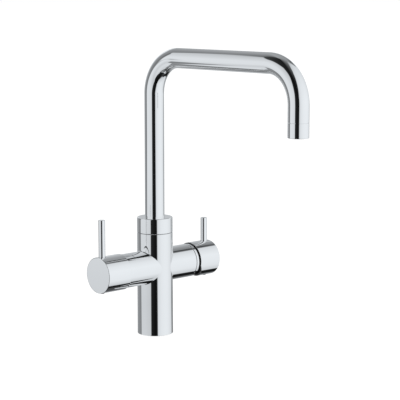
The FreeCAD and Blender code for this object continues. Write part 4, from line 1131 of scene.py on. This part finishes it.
@dataclass(frozen=True)
class Studio:
    """Camera, pale floor, soft light and the surroundings that the chrome reflects."""

    azimuth: float = -42.80
    elevation: float = 8.58
    distance: float = 1.80278
    lens: float = 127.01
    target_right: float = 57.90 * MM
    target_height: float = 172.90 * MM
    tint: tuple = (0.957, 1.0, 1.04, 1.0)
    sensor: float = 36.0
    shell_radius: float = 0.95
    shell_height: float = 0.15
    floor_half: float = 30.0
    floor_shade: float = 0.12
    floor_glow: float = 0.94
    sky_energy: float = 2.2
    sky_spread: float = 70.0
    sky_lean: float = -18.0
    room_shade: float = 0.55

    def camera(self) -> None:
        """Camera at the photograph's place, found by fitting the tap's outline to it."""
        az, el = math.radians(self.azimuth), math.radians(self.elevation)
        back = Vector((math.sin(az) * math.cos(el), -math.cos(az) * math.cos(el), math.sin(el)))
        right = Vector((math.cos(az), math.sin(az), 0.0))
        target = right * self.target_right + Vector((0.0, 0.0, self.target_height))
        data = bpy.data.cameras.new("camera")
        data.lens = self.lens
        data.sensor_width = self.sensor
        data.clip_end = 100.0
        made = bpy.data.objects.new("camera", data)
        bpy.context.scene.collection.objects.link(made)
        turn = Matrix((right, back.cross(right), back)).transposed().to_4x4()
        made.matrix_world = Matrix.Translation(target + back * self.distance) @ turn
        bpy.context.scene.camera = made

    def floor(self) -> None:
        """Pale floor, lit from within so that only a faint shadow shows, and not mirrored."""
        mesh = bpy.data.meshes.new("floor")
        half = self.floor_half
        mesh.from_pydata([(-half, -half, 0), (half, -half, 0), (half, half, 0), (-half, half, 0)],
                         [], [(0, 1, 2, 3)])
        made = bpy.data.objects.new("floor", mesh)
        bpy.context.scene.collection.objects.link(made)
        paint = bpy.data.materials.new("floor_paint")
        paint.use_nodes = True
        board = Board(paint.node_tree)
        matt = board.node("ShaderNodeBsdfDiffuse", None, {"Color": grey(self.floor_shade)})
        glow = board.node("ShaderNodeEmission", None,
                          {"Color": grey(1.0), "Strength": self.floor_glow})
        both = board.node("ShaderNodeAddShader", None, {0: board.wire(matt), 1: board.wire(glow)})
        board.node("ShaderNodeOutputMaterial", None, {"Surface": board.wire(both)})
        made.data.materials.append(paint)
        made.visible_glossy = False

    def light(self) -> None:
        """One wide soft light from above, which isn't seen in reflections."""
        data = bpy.data.lights.new("soft_sky", "SUN")
        data.energy = self.sky_energy
        data.angle = math.radians(self.sky_spread)
        made = bpy.data.objects.new("soft_sky", data)
        made.visible_glossy = False
        made.matrix_world = Matrix.Rotation(math.radians(self.sky_lean), 4, "X")
        bpy.context.scene.collection.objects.link(made)

    def walls(self, board: Board, turn: Wire, lift: Wire) -> Wire:
        """Floor, walls and ceiling: bands of shade over turn, blended straight over elevation."""
        level = board.curve(turn, WALLS[0][1])
        for (low, _), (high, band) in zip(WALLS[:-1], WALLS[1:]):
            share = ((lift - low) / (high - low)).held()
            level = level + share * (board.curve(turn, band) - level)
        return level

    def shell(self) -> None:
        """Ball of surroundings close round the tap, which only its reflections show.

        It stands near enough for the cards to shift as they do in the photograph: the spout's
        drop and the column mirror the same card from places a quarter of a metre apart.
        """
        work = bmesh.new()
        bmesh.ops.create_uvsphere(work, u_segments=96, v_segments=48, radius=self.shell_radius)
        mesh = bpy.data.meshes.new("surroundings")
        work.to_mesh(mesh)
        work.free()
        made = bpy.data.objects.new("surroundings", mesh)
        made.location = (0.0, 0.0, self.shell_height)
        bpy.context.scene.collection.objects.link(made)
        made.visible_camera = False
        made.visible_diffuse = False
        made.visible_transmission = False
        made.visible_volume_scatter = False
        made.visible_shadow = False
        mesh.materials.append(self.shell_glow())

    def shell_glow(self) -> bpy.types.Material:
        """What the shell shows: the walls with the cards laid over them, one after another."""
        made = bpy.data.materials.new("surroundings_glow")
        made.use_nodes = True
        made.cycles.emission_sampling = "NONE"
        board = Board(made.node_tree)
        outward = board.node("ShaderNodeVectorMath", {"operation": "NORMALIZE"}, {0: board.place()})
        parts = board.node("ShaderNodeSeparateXYZ", None, {0: board.wire(outward)})
        x, y, z = (board.wire(parts, i) for i in range(3))
        az = math.radians(self.azimuth)
        aside = x * math.cos(az) + y * math.sin(az)
        towards = x * math.sin(az) - y * math.cos(az)
        turn = board.maths("ARCTAN2", aside, towards) * math.degrees(1.0)
        lift = board.maths("ARCSINE", z.at_most(1.0).at_least(-1.0)) * math.degrees(1.0)
        level = self.walls(board, turn, lift)
        for card in (REAR_CARD, FLOOR_FLAG, LEFT_BOX, RIGHT_BOX, CEILING_FLAG):
            level = card.over(board, level, turn, lift)
        colour = board.mix_colour(level.held(), (0.0, 0.0, 0.0, 1.0), self.tint)
        shader = board.node("ShaderNodeEmission", None, {"Color": colour, "Strength": 1.0})
        board.node("ShaderNodeOutputMaterial", None, {"Surface": board.wire(shader)})
        return made

    def world(self) -> None:
        """White background, and even light for matt surfaces."""
        made = bpy.data.worlds.new("studio")
        made.use_nodes = True
        bpy.context.scene.world = made
        board = Board(made.node_tree)
        path = board.node("ShaderNodeLightPath")
        seen = board.wire(path, "Is Camera Ray")
        plain = board.mix_colour(seen, grey(self.room_shade), grey(1.0))
        shader = board.node("ShaderNodeBackground", None, {"Color": plain, "Strength": 1.0})
        board.node("ShaderNodeOutputWorld", None, {"Surface": board.wire(shader)})

    def build(self) -> None:
        """Set up everything round the tap."""
        settings = bpy.context.scene.view_settings
        settings.view_transform = "Standard"
        settings.look = "None"
        self.camera()
        self.floor()
        self.light()
        self.shell()
        self.world()


def main() -> None:
    """Build the tap's looks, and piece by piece."""
    logging.basicConfig(level=logging.INFO, format="%(message)s")
    Studio().build()
    dress_carried_nodes()
    CrossBody().build()
    TrimRing().build()
    SwivelSpout().build()
    Handle(Axis.LEFT, "filter", Body.FILTER_HANDLE, hub_face=74.0 * MM).build()
    Handle(Axis.RIGHT, "mixer", Body.MIXER_HANDLE, hub_face=79.0 * MM, relief_start=5.0 * MM,
           relief_depth=8.4 * MM).build()


if __name__ == "__main__":
    main()
